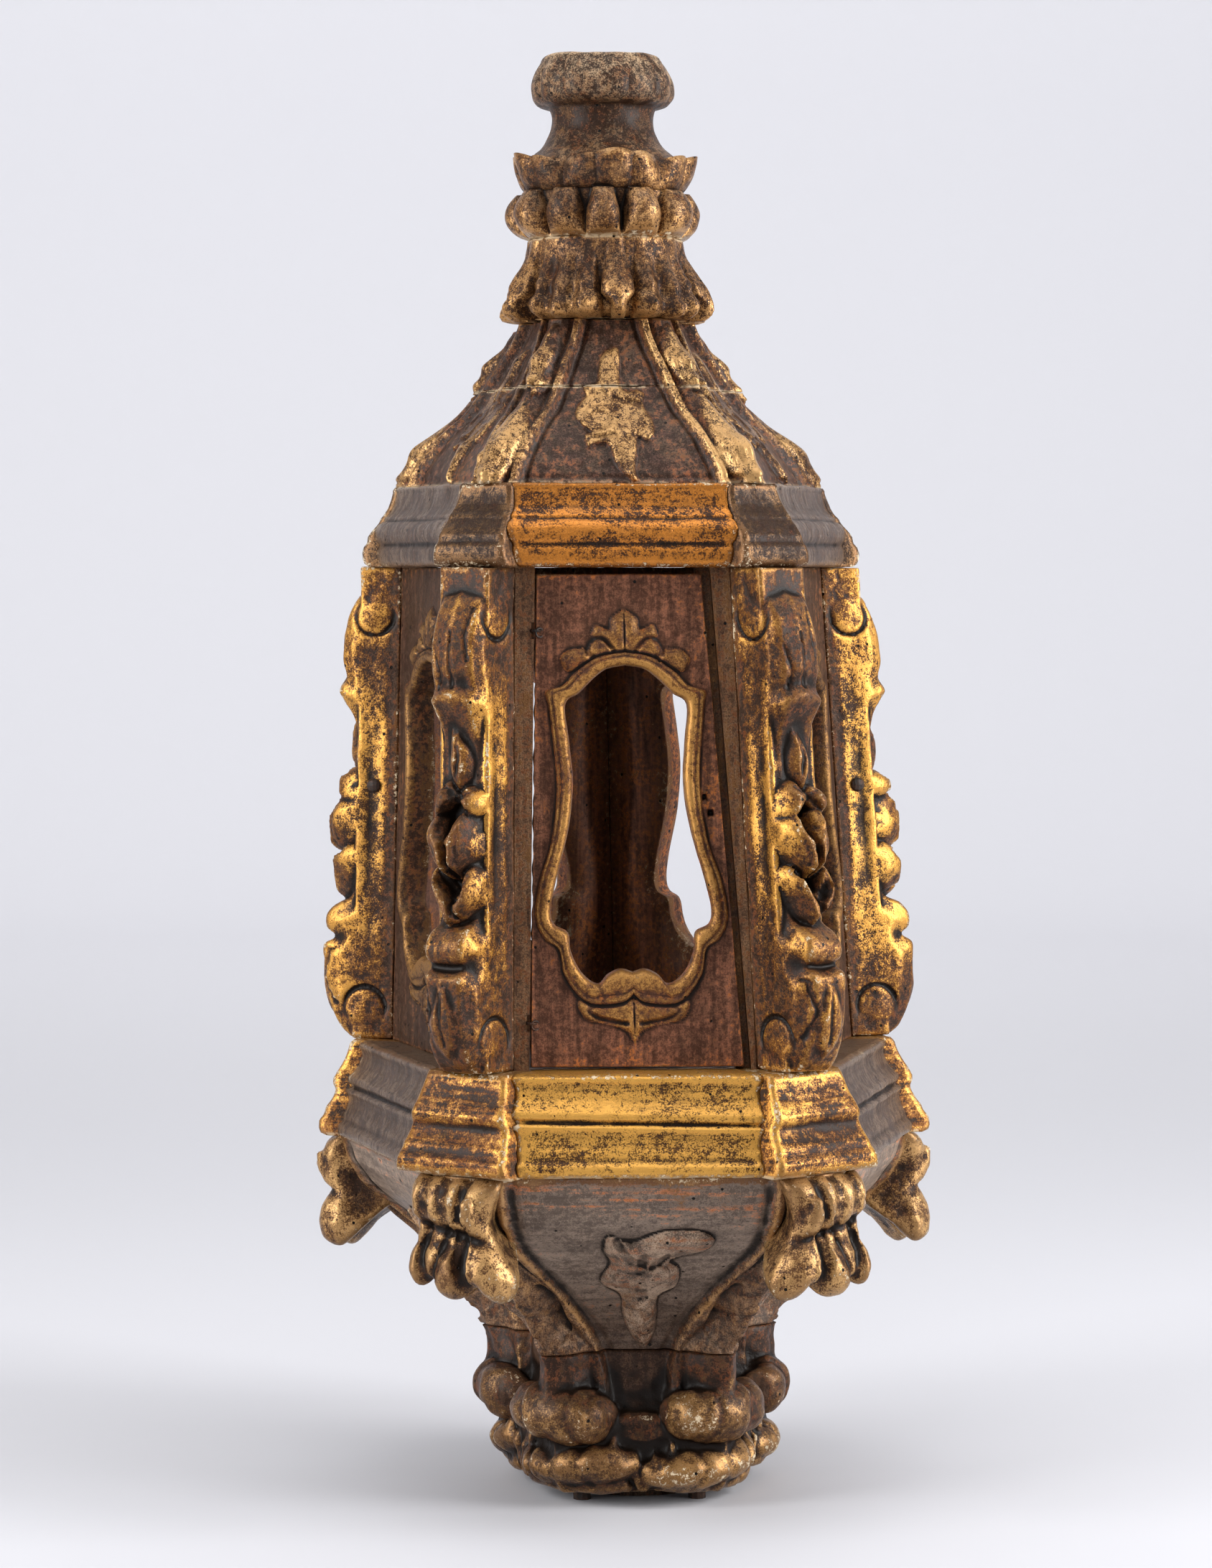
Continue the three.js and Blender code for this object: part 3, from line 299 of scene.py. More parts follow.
def surface_net(field, origin, size):
    """Points and quads on the zero surface of a sampled field that is negative inside."""
    inside = field < 0
    nx, ny, nz = np.array(field.shape) - 1
    count = sum(inside[i:nx + i, j:ny + j, k:nz + k].astype(np.uint8) for i, j, k in np.ndindex(2, 2, 2))
    cells = np.argwhere((count > 0) & (count < 8))
    index = np.full((nx, ny, nz), -1, np.int64)
    index[tuple(cells.T)] = np.arange(len(cells))
    total = np.zeros((len(cells), 3))
    hits = np.zeros(len(cells))
    for axis, a, b in np.ndindex(3, 2, 2):
        start = np.insert([a, b], axis, 0)
        along = np.eye(3, dtype=int)[axis]
        f0 = field[tuple((cells + start).T)]
        f1 = field[tuple((cells + start + along).T)]
        crosses = (f0 < 0) != (f1 < 0)
        t = np.where(crosses, f0 / np.where(crosses, f0 - f1, 1), 0)
        total += (start + t[:, None] * along) * crosses[:, None]
        hits += crosses
    points = np.asarray(origin) + (cells + total / hits[:, None]) * size
    faces = []
    for axis in range(3):
        b, c = (axis + 1) % 3, (axis + 2) % 3
        at = np.argwhere(np.diff(inside, axis=axis))
        at = at[(at[:, b] > 0) & (at[:, c] > 0) & (at[:, b] < (nx, ny, nz)[b]) & (at[:, c] < (nx, ny, nz)[c])]
        back_b, back_c = np.eye(3, dtype=int)[[b, c]]
        quad = np.stack([index[tuple((at - back).T)]
                         for back in (back_b + back_c, back_c, 0 * back_b, back_b)], -1)
        starts_inside = inside[tuple(at.T)]
        quad[~starts_inside] = quad[~starts_inside][:, ::-1]
        faces.append(quad)
    return points, np.concatenate(faces)


def smin(a, b, k):
    """The lesser of two fields, blended over k, which joins two bodies with a soft valley."""
    h = clip01(0.5 + 0.5 * (b - a) / k)
    return lerp(b, a, h) - k * h * (1 - h)


def smax(a, b, k):
    return -smin(-a, -b, k)


def rope(p, path, k):
    """Signed distance to a chain of balls: path is a list of (x, y, z, radius)."""
    best = FAR
    for (*start, r0), (*end, r1) in zip(path, path[1:]):
        along = np.subtract(end, start)
        t = clip01(sum((p[i] - start[i]) * along[i] for i in range(3)) / (along @ along + TINY))
        away = np.sqrt(sum((p[i] - start[i] - t * along[i]) ** 2 for i in range(3)))
        best = smin(best, away - lerp(r0, r1, t), k)
    return best


def sample_grid(lo, hi, size):
    """The first corner of a box of samples, and the places of all of them."""
    axes = [np.arange(a - 2 * size, b + 2.01 * size, size, dtype=np.float32) for a, b in zip(lo, hi)]
    return [a[0] for a in axes], np.meshgrid(*axes, indexing="ij")


# Materials
class Shader:
    """A node material under construction."""

    def __init__(self, name):
        self.material = bpy.data.materials.new(name)
        self.material.use_nodes = True
        self.tree = self.material.node_tree
        self.tree.nodes.clear()
        self.surface = self.tree.nodes.new("ShaderNodeBsdfPrincipled")
        out = self.tree.nodes.new("ShaderNodeOutputMaterial")
        self.tree.links.new(self.surface.outputs[0], out.inputs[0])
        self.place = self.tree.nodes.new("ShaderNodeTexCoord").outputs["Object"]

    def put(self, socket, value):
        if isinstance(value, bpy.types.NodeSocket):
            self.tree.links.new(value, socket)
        else:
            socket.default_value = value

    def node(self, kind, **inputs):
        """A new node with its inputs set. An underscore in a name stands for a space."""
        node = self.tree.nodes.new("ShaderNode" + kind)
        for key, value in inputs.items():
            self.put(node.inputs[key.replace("_", " ")], value)
        return node

    def math(self, op, a, b=0.0, clamp=False):
        if not isinstance(a, bpy.types.NodeSocket) and not isinstance(b, bpy.types.NodeSocket):
            sums = {"MULTIPLY": a * b, "ADD": a + b, "SUBTRACT": a - b, "MAXIMUM": max(a, b)}
            return min(max(sums[op], 0.0), 1.0) if clamp else sums[op]
        node = self.tree.nodes.new("ShaderNodeMath")
        node.operation, node.use_clamp = op, clamp
        self.put(node.inputs[0], a)
        self.put(node.inputs[1], b)
        return node.outputs[0]

    def product(self, *terms):
        """Product of the terms, kept within 0 to 1."""
        out = terms[0]
        for term in terms[1:]:
            out = self.math("MULTIPLY", out, term, clamp=True)
        return out

    def most(self, *terms):
        out = terms[0]
        for term in terms[1:]:
            out = self.math("MAXIMUM", out, term)
        return out

    def total(self, *terms):
        """Sum of (value, weight) pairs."""
        out = None
        for value, weight in terms:
            part = self.math("MULTIPLY", value, weight)
            out = part if out is None else self.math("ADD", out, part)
        return out

    def ramp(self, value, lo, hi, a=0.0, b=1.0):
        node = self.node("MapRange", Value=value, From_Min=lo, From_Max=hi, To_Min=a, To_Max=b)
        node.interpolation_type = "SMOOTHSTEP"
        return node.outputs[0]

    def mix(self, share, a, b):
        node = self.tree.nodes.new("ShaderNodeMix")
        node.data_type = "RGBA"
        self.put(node.inputs[0], share)
        for socket, value in ((node.inputs[6], a), (node.inputs[7], b)):
            self.put(socket, (*value, 1.0) if isinstance(value, tuple) else value)
        return node.outputs[2]

    def noise(self, scale, detail, rough, stretch=None, warp=0.0):
        vector = self.place
        if stretch:
            vector = self.node("Mapping", Vector=vector, Scale=stretch).outputs[0]
        return self.node("TexNoise", Vector=vector, Scale=scale, Detail=detail, Roughness=rough,
                         Distortion=warp).outputs["Fac"]

    def dots(self, scale, radius):
        distance = self.node("TexVoronoi", Vector=self.place, Scale=scale).outputs["Distance"]
        return self.ramp(distance, radius * 0.75, radius * 1.15, 1.0, 0.0)

    def painted(self, name):
        node = self.tree.nodes.new("ShaderNodeAttribute")
        node.attribute_name = name
        return node.outputs["Fac"]

    def part_of(self, vector, axis):
        return self.node("SeparateXYZ", Vector=vector).outputs[axis]

    def bumped(self, height, distance, strength):
        self.put(self.surface.inputs["Normal"],
                 self.node("Bump", Strength=strength, Distance=distance, Height=height).outputs[0])


# Wear patterns, in repeats to the metre from clouds down to specks, and the grain's streaks along each axis
BROAD, PATCH, FLECK, FINE = 17, 88, 310, 1150
LEVEL_GRAIN, UPRIGHT_GRAIN = (24, 24, 330), (260, 260, 22)
WORM_HOLES, WORM_HOLE_RADIUS = 85, 0.075
BOLE, CREAM, BARE_EDGE = (0.15, 0.042, 0.012), (0.60, 0.48, 0.32), (0.12, 0.055, 0.024)
# HOLLOW_SHADE is the near-black of the shade painted into the carving's hollows
GRIME, HOLLOW_SHADE, HOLE = (0.022, 0.009, 0.004), (0.006, 0.003, 0.0015), (0.004, 0.003, 0.002)
PORE_DEPTH = 0.0011


def aged(name, gold, amber, paint=(0.028, 0.013, 0.007), paint_light=(0.080, 0.038, 0.020), bole=BOLE,
         tan=(0.24, 0.165, 0.095), chips=1.0, grain=0.5, gloss=0.34, dirt=1.0, level=False, even=None,
         field=None):
    """Old gilding over bole, gesso and dark paint, worn by the piece's own ridges and hollows.

    gold and amber are its bright and toned leaf, paint and paint_light the ground, and tan its dust.
    level turns the grain's streaks level. A solid that keeps its own mesh has no painted wear, and gives
    its gilding and dust as even. field holds the two paints of the parts painted another colour.
    """
    s = Shader(name)
    if even:
        ridge, (gild, dust) = 0.5, even
    else:
        ridge, gild, dust = (s.painted(key) for key in ("ridge", "gild", "dust"))
    fleck = s.noise(FLECK, 5, 0.72)
    streak = s.noise(1, 5, 0.6, stretch=LEVEL_GRAIN if level else UPRIGHT_GRAIN)
    sources = {"relief": ridge, "gild": gild, "broad": s.noise(BROAD, 3, 0.55), "fleck": fleck,
               "streak": streak, "patch": s.noise(PATCH, 5, 0.64, warp=0.6), "fine": s.noise(FINE, 3, 0.65)}
    centred = {key: s.math("SUBTRACT", value, 0.5) for key, value in sources.items()}

    def mixed(**weights):
        """Weighted sum of the sources, each centred on nothing."""
        return s.total(*((centred[key], weight) for key, weight in weights.items()))

    # Leaf that is left, bole that shows round it, and how bright the leaf has stayed
    worn = mixed(gild=1.0, relief=0.65, broad=0.7, patch=0.7, fleck=0.9, fine=0.4, streak=grain * 0.9)
    leaf = s.ramp(worn, -0.12, 0.04)
    under = s.ramp(worn, -0.30, -0.08)
    shine = mixed(fleck=1.3, fine=1.3, broad=1.3, patch=0.7, relief=1.0, gild=1.5, streak=grain * 0.8)
    bright = s.ramp(shine, 0.08, 0.48)

    # The ground under the leaf
    smear, under_bole = streak if level else fleck, bole
    if field:
        own = s.painted("field")
        paint, paint_light = s.mix(own, paint, field[0]), s.mix(own, paint_light, field[1])
        smear = s.math("ADD", s.math("MULTIPLY", s.math("SUBTRACT", streak, fleck), own), fleck)
        under_bole = s.mix(own, BOLE, bole)
    ground = s.mix(s.ramp(mixed(streak=0.7, fleck=0.5), -0.15, 0.20), paint, paint_light)
    ground = s.mix(s.math("MULTIPLY", under, s.ramp(smear, 0.46, 0.60)), ground, under_bole)
    colour = s.mix(leaf, ground, s.mix(bright, amber, gold))

    # Dust on what faces up, grime, painted shade in the hollows, bare edges, chips down to the gesso, and
    # worm holes
    facing_up = s.ramp(s.part_of(s.node("NewGeometry").outputs["Normal"], "Z"), -0.1, 0.9)
    dusty = s.math("MULTIPLY", s.math("MULTIPLY", dust, s.ramp(mixed(patch=0.7, fine=0.5), -0.15, 0.20)),
                   s.math("ADD", s.math("MULTIPLY", facing_up, 0.7), 0.45), clamp=True)
    colour = s.mix(dusty, colour, tan)
    clean = s.ramp(mixed(patch=0.6, fleck=1.3, fine=1.3, broad=0.7, relief=0.9, streak=grain * 0.5),
                   -0.18, 0.15)
    grime = s.product(s.math("SUBTRACT", 1.0, clean), 0.90 * dirt)
    colour = s.mix(grime, colour, GRIME)
    # Painted shade: the deeper a place lies in the carving's hollows, the nearer its colour goes to
    # near-black
    hollow = s.ramp(mixed(relief=-2.5, patch=0.7, fleck=0.7), 0.02, 0.50)
    colour = s.mix(s.math("MULTIPLY", hollow, 0.95), colour, HOLLOW_SHADE)
    chip = s.product(s.ramp(mixed(relief=1.15, fleck=1.8, fine=0.8, broad=1.0), 0.70, 0.82), chips)
    if not even:
        gesso = s.math("MULTIPLY", s.painted("seam"), s.ramp(mixed(patch=0.8, fleck=0.8), -0.08, 0.04))
        chip = s.most(chip, gesso)
        edge = s.ramp(mixed(relief=1.0, fleck=0.9, fine=0.6), 0.34, 0.50)
        colour = s.mix(s.math("MULTIPLY", edge, 0.65), colour, BARE_EDGE)
    colour = s.mix(chip, colour, CREAM)
    hole = s.dots(WORM_HOLES, WORM_HOLE_RADIUS)
    s.put(s.surface.inputs["Base Color"], s.mix(hole, colour, HOLE))

    cover = s.product(leaf, s.math("SUBTRACT", 1.0, s.most(hollow, grime, dusty, chip)))
    s.put(s.surface.inputs["Metallic"], s.math("MULTIPLY", cover, s.total((bright, 0.45), (1.0, 0.28))))
    s.put(s.surface.inputs["Roughness"], s.total((s.math("SUBTRACT", 1.0, cover), 0.14), (fleck, 0.34),
                                                 (dusty, 0.20), (1.0, gloss - 0.22)))
    s.surface.inputs["Specular IOR Level"].default_value = 0.15
    s.surface.inputs["Coat Weight"].default_value = 0.04
    s.surface.inputs["Coat Roughness"].default_value = 0.26
    skin = mixed(patch=0.50, fleck=0.42, fine=0.20, streak=0.35 * grain)
    s.bumped(s.total((skin, 1.0), (leaf, 0.10), (chip, -0.25), (hole, -1.6)), PORE_DEPTH, 0.75)
    return s.material


def forged(name):
    """Forged iron, dark with rust."""
    s = Shader(name)
    patch, fine = s.noise(160, 4, 0.6), s.noise(900, 3, 0.6)
    rust = s.ramp(s.total((patch, 0.8), (fine, 0.5)), 0.5, 0.85)
    s.put(s.surface.inputs["Base Color"], s.mix(rust, (0.018, 0.014, 0.012), (0.075, 0.032, 0.016)))
    s.surface.inputs["Metallic"].default_value = 0.55
    s.put(s.surface.inputs["Roughness"], s.total((patch, 0.3), (1.0, 0.42)))
    s.bumped(s.total((patch, 0.5), (fine, 0.4)), 0.0005, 0.8)
    return s.material


GILT = aged("gilt_wood", (0.60, 0.295, 0.058), (0.125, 0.043, 0.008))
BROWN = aged("brown_gilt_wood", (0.50, 0.265, 0.090), (0.130, 0.050, 0.013), paint=(0.024, 0.012, 0.006),
             paint_light=(0.10, 0.050, 0.026), tan=(0.52, 0.38, 0.24), chips=1.3)
DARK = aged("dark_wood", (0.46, 0.23, 0.06), (0.19, 0.078, 0.022), paint=(0.080, 0.029, 0.015),
            paint_light=(0.28, 0.110, 0.060), bole=(0.50, 0.15, 0.03), chips=0.4, gloss=0.42, dirt=0.6)
# Painted shade: a darker copy of the dark wood, for the left and right boards
DARK_WOOD_PAINTED_SHADE = aged("dark_wood_painted_shade", (0.28, 0.14, 0.04), (0.10, 0.042, 0.012), paint=(0.026, 0.012, 0.007),
              paint_light=(0.075, 0.034, 0.020), bole=(0.20, 0.065, 0.02), chips=0.4, gloss=0.42, dirt=0.6)
SLATE = aged("slate_painted_wood", (0.42, 0.22, 0.075), (0.14, 0.062, 0.024), paint=(0.034, 0.018, 0.011),
             paint_light=(0.11, 0.058, 0.034), bole=(0.56, 0.17, 0.05), tan=(0.42, 0.30, 0.21), grain=0.25,
             gloss=0.40, dirt=0.5, level=True, field=((0.150, 0.112, 0.088), (0.30, 0.225, 0.170)))
GILT_DOME = aged("dome_gilt_wood", (0.54, 0.31, 0.120), (0.12, 0.048, 0.014), paint=(0.024, 0.012, 0.009),
                 paint_light=(0.095, 0.045, 0.032), bole=(0.24, 0.080, 0.030), chips=1.4, gloss=0.32,
                 dirt=0.9)
GILT_CORNICE = aged("cornice_gilt_wood", (0.68, 0.35, 0.070), (0.20, 0.072, 0.013), grain=0.9, level=True)
AMBER_CORNICE = aged("amber_cornice_wood", (0.55, 0.20, 0.032), (0.13, 0.040, 0.009), grain=0.9, gloss=0.30,
                     level=True)
DUSKY_CORNICE = aged("dusky_cornice_wood", (0.155, 0.082, 0.036), (0.040, 0.020, 0.010),
                     tan=(0.11, 0.075, 0.05), grain=0.9)
BARE_CORNICE = aged("bare_cornice_wood", (0.21, 0.15, 0.105), (0.11, 0.072, 0.05),
                    paint=(0.050, 0.037, 0.031), paint_light=(0.16, 0.12, 0.10), bole=(0.09, 0.05, 0.035),
                    chips=0.5, grain=1.3, dirt=0.6)
GILT_DROP = aged("drop_gilt_wood", (0.55, 0.32, 0.125), (0.12, 0.052, 0.018))
GILT_FOOT = aged("foot_gilt_wood", (0.40, 0.215, 0.075), (0.075, 0.033, 0.012), tan=(0.20, 0.14, 0.09))
PLAIN_DARK = aged("plain_dark_wood", (0.44, 0.23, 0.09), (0.17, 0.075, 0.026), paint=(0.11, 0.052, 0.027),
                  paint_light=(0.36, 0.20, 0.10), chips=0.3, grain=1.0, dirt=0.7, even=(0.34, 0.15))
PLAIN_BARE = aged("plain_bare_wood", (0.20, 0.12, 0.06), (0.13, 0.07, 0.035), paint=(0.045, 0.028, 0.018),
                  paint_light=(0.12, 0.075, 0.045), chips=0.1, grain=1.2, even=(0.2, 0.2))
IRON = forged("iron")


# Chimney collar: worn bun, neck, calyx of curling leaves and twelve gadroons
def ring_stack(rows, phi):
    """Points and faces from a list of (radius by angle, height by angle), closed into a ring-shaped body."""
    points = np.concatenate([about_axis(r, phi, z) for r, z in rows])
    return points, grid_faces(len(rows), len(phi), True, True)


def saw(phi, count, shift=0.0):
    """Place across the nearest of some parts round the axis, -1 to 1, with its number."""
    u = phi / (2 * math.pi) * count - shift
    k = np.round(u)
    return 2 * (u - k), k.astype(int) % count


def bend(start, middle, end, t):
    """A place on the bent line from start to end that is drawn towards the middle."""
    return (1 - t) ** 2 * start + 2 * t * (1 - t) * middle + t * t * end


GADROONS = 12
CALYX_LEAVES, CALYX_LOBES = 5, 15
BUN_FACETS = 13
BUN = spline([(22, 799.6), (27, 799.9), (31.5, 799.6), (33.6, 798.2), (34.6, 796), (37.2, 791), (39.2, 786),
              (39.9, 781), (39.2, 776), (36.8, 772.6), (33.2, 771.2), (30.4, 770.3), (29.1, 768),
              (28.4, 763.5), (29.0, 758), (31.2, 752.5), (34.3, 748), (37.0, 745.6)])
FLUE = [(20, 697), (20, 760), (20, 798.6)]


def collar():
    phi = all_round(560)
    rows = list(FLUE)

    # Bun with hacked facets, and the ribbed neck under it
    facet, which = saw(phi, BUN_FACETS, 0.2)
    lobes = (1 - facet ** 2) * (0.5 + 0.9 * np.random.default_rng(3).random(BUN_FACETS)[which])
    wobble = np.sin(2 * phi + 0.6) * 0.5 + np.sin(3 * phi + 2) * 0.35
    neck_rib = np.abs(np.sin(2.5 * (phi - 0.1))) ** 3
    for r, z in BUN:
        fat = step(771.5, 777, z) * (1 - step(789, 799, z))
        low = 1 - step(750, 766, z)
        r = r + fat * (lobes * 1.3 - 0.4) + wobble * 0.6 * step(768, 775, z) + low * 0.9 * neck_rib
        rows.append((r, np.minimum(z - step(793, 799, z) * (0.7 + 0.7 * wobble), Z_TOP)))

    # Calyx: out to the leaves' tips, then back under them
    across, _ = saw(phi, CALYX_LEAVES, 0.06)
    lobe, _ = saw(phi, CALYX_LOBES, 0.18)
    tip = (1 - np.abs(across) ** 2.2) * (0.72 + 0.28 * (1 - lobe ** 2))
    neck_r, neck_z = rows[-1]
    reach = 43.6 + 10.0 * tip
    crest = 737.2 + 6.2 * tip + 1.0 * np.sin(3 * phi)
    for t in np.linspace(0.12, 1, 12):
        rows.append((bend(neck_r, 42 + 2.0 * tip, reach, t),
                     bend(neck_z, 740.5 - 1.5 * (1 - lobe ** 2), crest, t)))
    for t in np.linspace(0.1, 1, 12):
        crease = 1.6 * np.abs(lobe) ** 3 * np.sin(math.pi * t)
        rows.append((bend(reach, 50 + 1.5 * tip, 44.0, t) - crease,
                     bend(crest - 1.2, 727 + 2 * tip, 722.4, t)))

    # Gadroons, each as fat as its own wear has left it
    across, number = saw(phi + 0.05 * np.sin(3 * phi), GADROONS, -0.13)
    fat = 0.84 + 0.26 * np.random.default_rng(5).random(GADROONS)[number]
    for v in np.linspace(0.03, 1, 30):
        half = 0.62 + 0.32 * step(0, 0.6, v)
        pad = mound(across / half, 2.4, 0.5)
        swell = np.sin(math.pi * (0.10 + 0.86 * v) ** 1.15) ** 0.6
        r = 43.4 + 11.6 * pad * swell * fat - 1.6 * (1 - pad) * bump(v, 0.5, 0.5)
        rows.append((r, lerp(723.4, 697.0, v) + 1.0 * pad * (v - 0.3)))
    rows += [(43.5, 696.4), (42.0, 696.1)]
    points, faces = ring_stack(rows, phi)
    z = points[:, 2]
    make_mesh("chimney_collar_carved", points, faces, BROWN, ["chimney_collar"],
              gild=0.46 + 0.10 * step(715, 700, z), dust=0.3 + 0.6 * step(768, 777, z), reach=4, uneven=1.1,
              seed=1, marks={"seam": bump(z, 696.2, 1.5)})


# Leaf skirt: by turns a broad folded leaf and a narrow tongue, five of each
SKIRT_FLARE = smooth_curve([(0, 43.0), (0.25, 44.2), (0.42, 46.0), (0.58, 48.4), (0.75, 51.2), (0.9, 53.2),
                            (1, 53.4)])
SKIRT_TOP, SKIRT_UNDER = 695.9, 650.3


def skirt():
    phi = all_round(560)
    wide, narrow = ((np.degrees(phi) - centre + 36) % 72 - 36 for centre in (40.5, 4.5))
    rows = [(20, SKIRT_TOP), (42.6, SKIRT_TOP)]
    lip = 654.2 + 3.8 * np.abs(np.sin(np.radians(wide) * 3.4)) - 0.8 * bump(narrow, 0, 9)
    for v in np.linspace(0, 1, 34):
        across = wide / lerp(20.0, 26.0, v)
        broad = mound(across, 2, 0.5)
        folds = 1.3 * np.cos(np.radians(wide) * 22) * mound(across, 2, 1) * step(0.15, 0.6, v)
        half = lerp(6.0, 10.5, step(0.1, 0.75, v)) * (1 - 0.62 * step(0.82, 1.0, v))
        tongue = mound(narrow / half, 2, 0.45)
        keel = 1.3 * clip01(1 - np.abs(narrow) / 3.4)
        flare = SKIRT_FLARE(v)
        r = np.maximum(flare + (1.4 + 4.0 * step(0.2, 0.9, v)) * broad + folds * 2.4,
                       flare - 0.5 + (1.6 + 5.6 * step(0.05, 0.85, v)) * tongue + keel * step(0.1, 0.5, v))
        r = r - 4.6 * step(0.1, 0.8, v) * clip01(1 - broad * 2.0) * clip01(1 - tongue * 2.0)
        rows.append((r - 2.2 * bump(v, 0.80, 0.16) * (1 - tongue), lerp(695.6, lip, v)))
    lip_r, lip_z = rows[-1]
    for t, pull in ((0.35, 1.5), (0.7, 4.5), (1.0, 7.5)):
        rows.append((lip_r - pull, lerp(lip_z - 1.4, 650.4, t)))
    rows += [(46, SKIRT_UNDER), (28, SKIRT_UNDER)]
    points, faces = ring_stack(rows, phi)
    z = points[:, 2]
    make_mesh("leaf_skirt_carved", points, faces, BROWN, ["leaf_skirt"],
              gild=0.50 + 0.12 * step(676, 660, z), dust=0.2, reach=5, uneven=1.2, seed=2,
              marks={"seam": bump(z, 695.8, 1.6)})


# Dome: bell-shaped faces painted dark, a rocaille leaf on each, and a band of leaves up each corner
CARTOUCHE = [(-2.5, 75.5), (3, 76.4), (4.2, 72), (4, 64), (4.4, 54), (7.5, 52), (13, 52.4), (16.4, 49.5),
             (15.6, 43.5), (16.6, 40.5), (19.8, 35), (20.4, 27), (16.2, 23), (11.5, 25.4), (10.8, 15.8),
             (9.4, 6), (11.4, 2.2), (7.4, 0.8), (2.5, 4.5), (-2.4, 11), (-4.9, 20.5), (-10.6, 21.8),
             (-16.2, 19.4), (-17.6, 25.4), (-17.2, 27.4), (-13.9, 28.7), (-18.8, 32), (-22, 37),
             (-20.4, 43.5), (-16.2, 48.4), (-17, 52.3), (-15, 54.8), (-9.8, 56.5), (-8.9, 59.6),
             (-8.2, 67.7), (-5.7, 73.2)]
CARTOUCHE_SCROLL = spline([(-17, 33), (-13.5, 28.8), (-7, 28.4), (-1.6, 32), (-1.8, 38.5), (-7, 41.5),
                           (-13, 40.5), (-14.6, 36.5)])
CARTOUCHE_VEINS = [(CARTOUCHE_SCROLL, 1.9, 1.2), ([(-6, 53), (-2, 47), (6, 45.5), (13, 44)], 1.5, -1.5),
                   ([(4, 24), (10, 27), (15, 33)], 1.4, -1.2),
                   ([(-16, 24), (-8, 25.5), (-1, 27)], 1.3, -1.3),
                   ([(-2, 70), (-1, 58), (1, 46)], (3.0, 4.5), 1.0),
                   ([(2, 22), (5, 12), (8, 3)], (3.6, 1.6), 1.3)]
DOME_RIB = smooth_curve([(558, 126), (564, 122.6), (570, 118.6), (575, 114.6), (581, 109.6), (587, 103.6),
                         (593, 96.5), (598, 90), (604, 84.6), (610, 80.4), (615, 76.6), (621, 72.4),
                         (627, 68.6), (632, 64.6), (638, 60.6), (644, 57.4), (650, 55)])
# Curling leaves in a corner's channel: top, foot, half width, height and sideways bend
DOME_LEAVES = ((646, 611, 8.0, 7.6, -1.2), (607, 556, 11.0, 9.6, 1.6), (624, 606, 4.6, 5.6, 4.6),
               (590, 560, 5.0, 7.0, -7.6))
# Each block: name, foot, top, radius of its bore at the top and at the foot, and seed
DOME_BLOCKS = (("dome_lower", Z_DOME, Z_SPLIT - 0.2, (52, 85), 4),
               ("dome_upper", Z_SPLIT + 0.2, Z_SKIRT, (28, 52), 5))
DOME_CORNER_GILD = np.array([0.54, 0.40, 0.36, 0.36, 0.38])


def channel_leaves(z, across):
    """Height of the leaves in a corner's channel, by height and by place across it."""
    leaves = np.zeros_like(z)
    for top, foot, wide, high, shift in DOME_LEAVES:
        t = clip01((top - z) / (top - foot))
        off = np.abs(across - shift * np.sin(t * 2.6))
        w = wide * np.maximum(np.sin(math.pi * (0.06 + 0.80 * t)), 0) ** 0.8
        keel = clip01(1 - off / 1.5) - 2.2 * clip01(1 - np.abs(off - w * 0.52) / 1.3) * step(0.2, 0.5, t)
        rise = high * (0.30 + 0.70 * step(0.0, 0.6, t)) * (1 - 0.55 * step(0.80, 1.0, t))
        rise = rise * (1 + 0.16 * np.sin(t * 15.0))
        live = (z < top) & (z > foot - 0.5)
        leaves = np.maximum(leaves, live * mound(off / w, 2, 0.55) * (rise + keel))
    return leaves


def with_bore(values, inner):
    """Painted values of a hollow ring: its outside, then its bore."""
    return np.concatenate([values.ravel(), np.full(2 * values.shape[1], inner)])


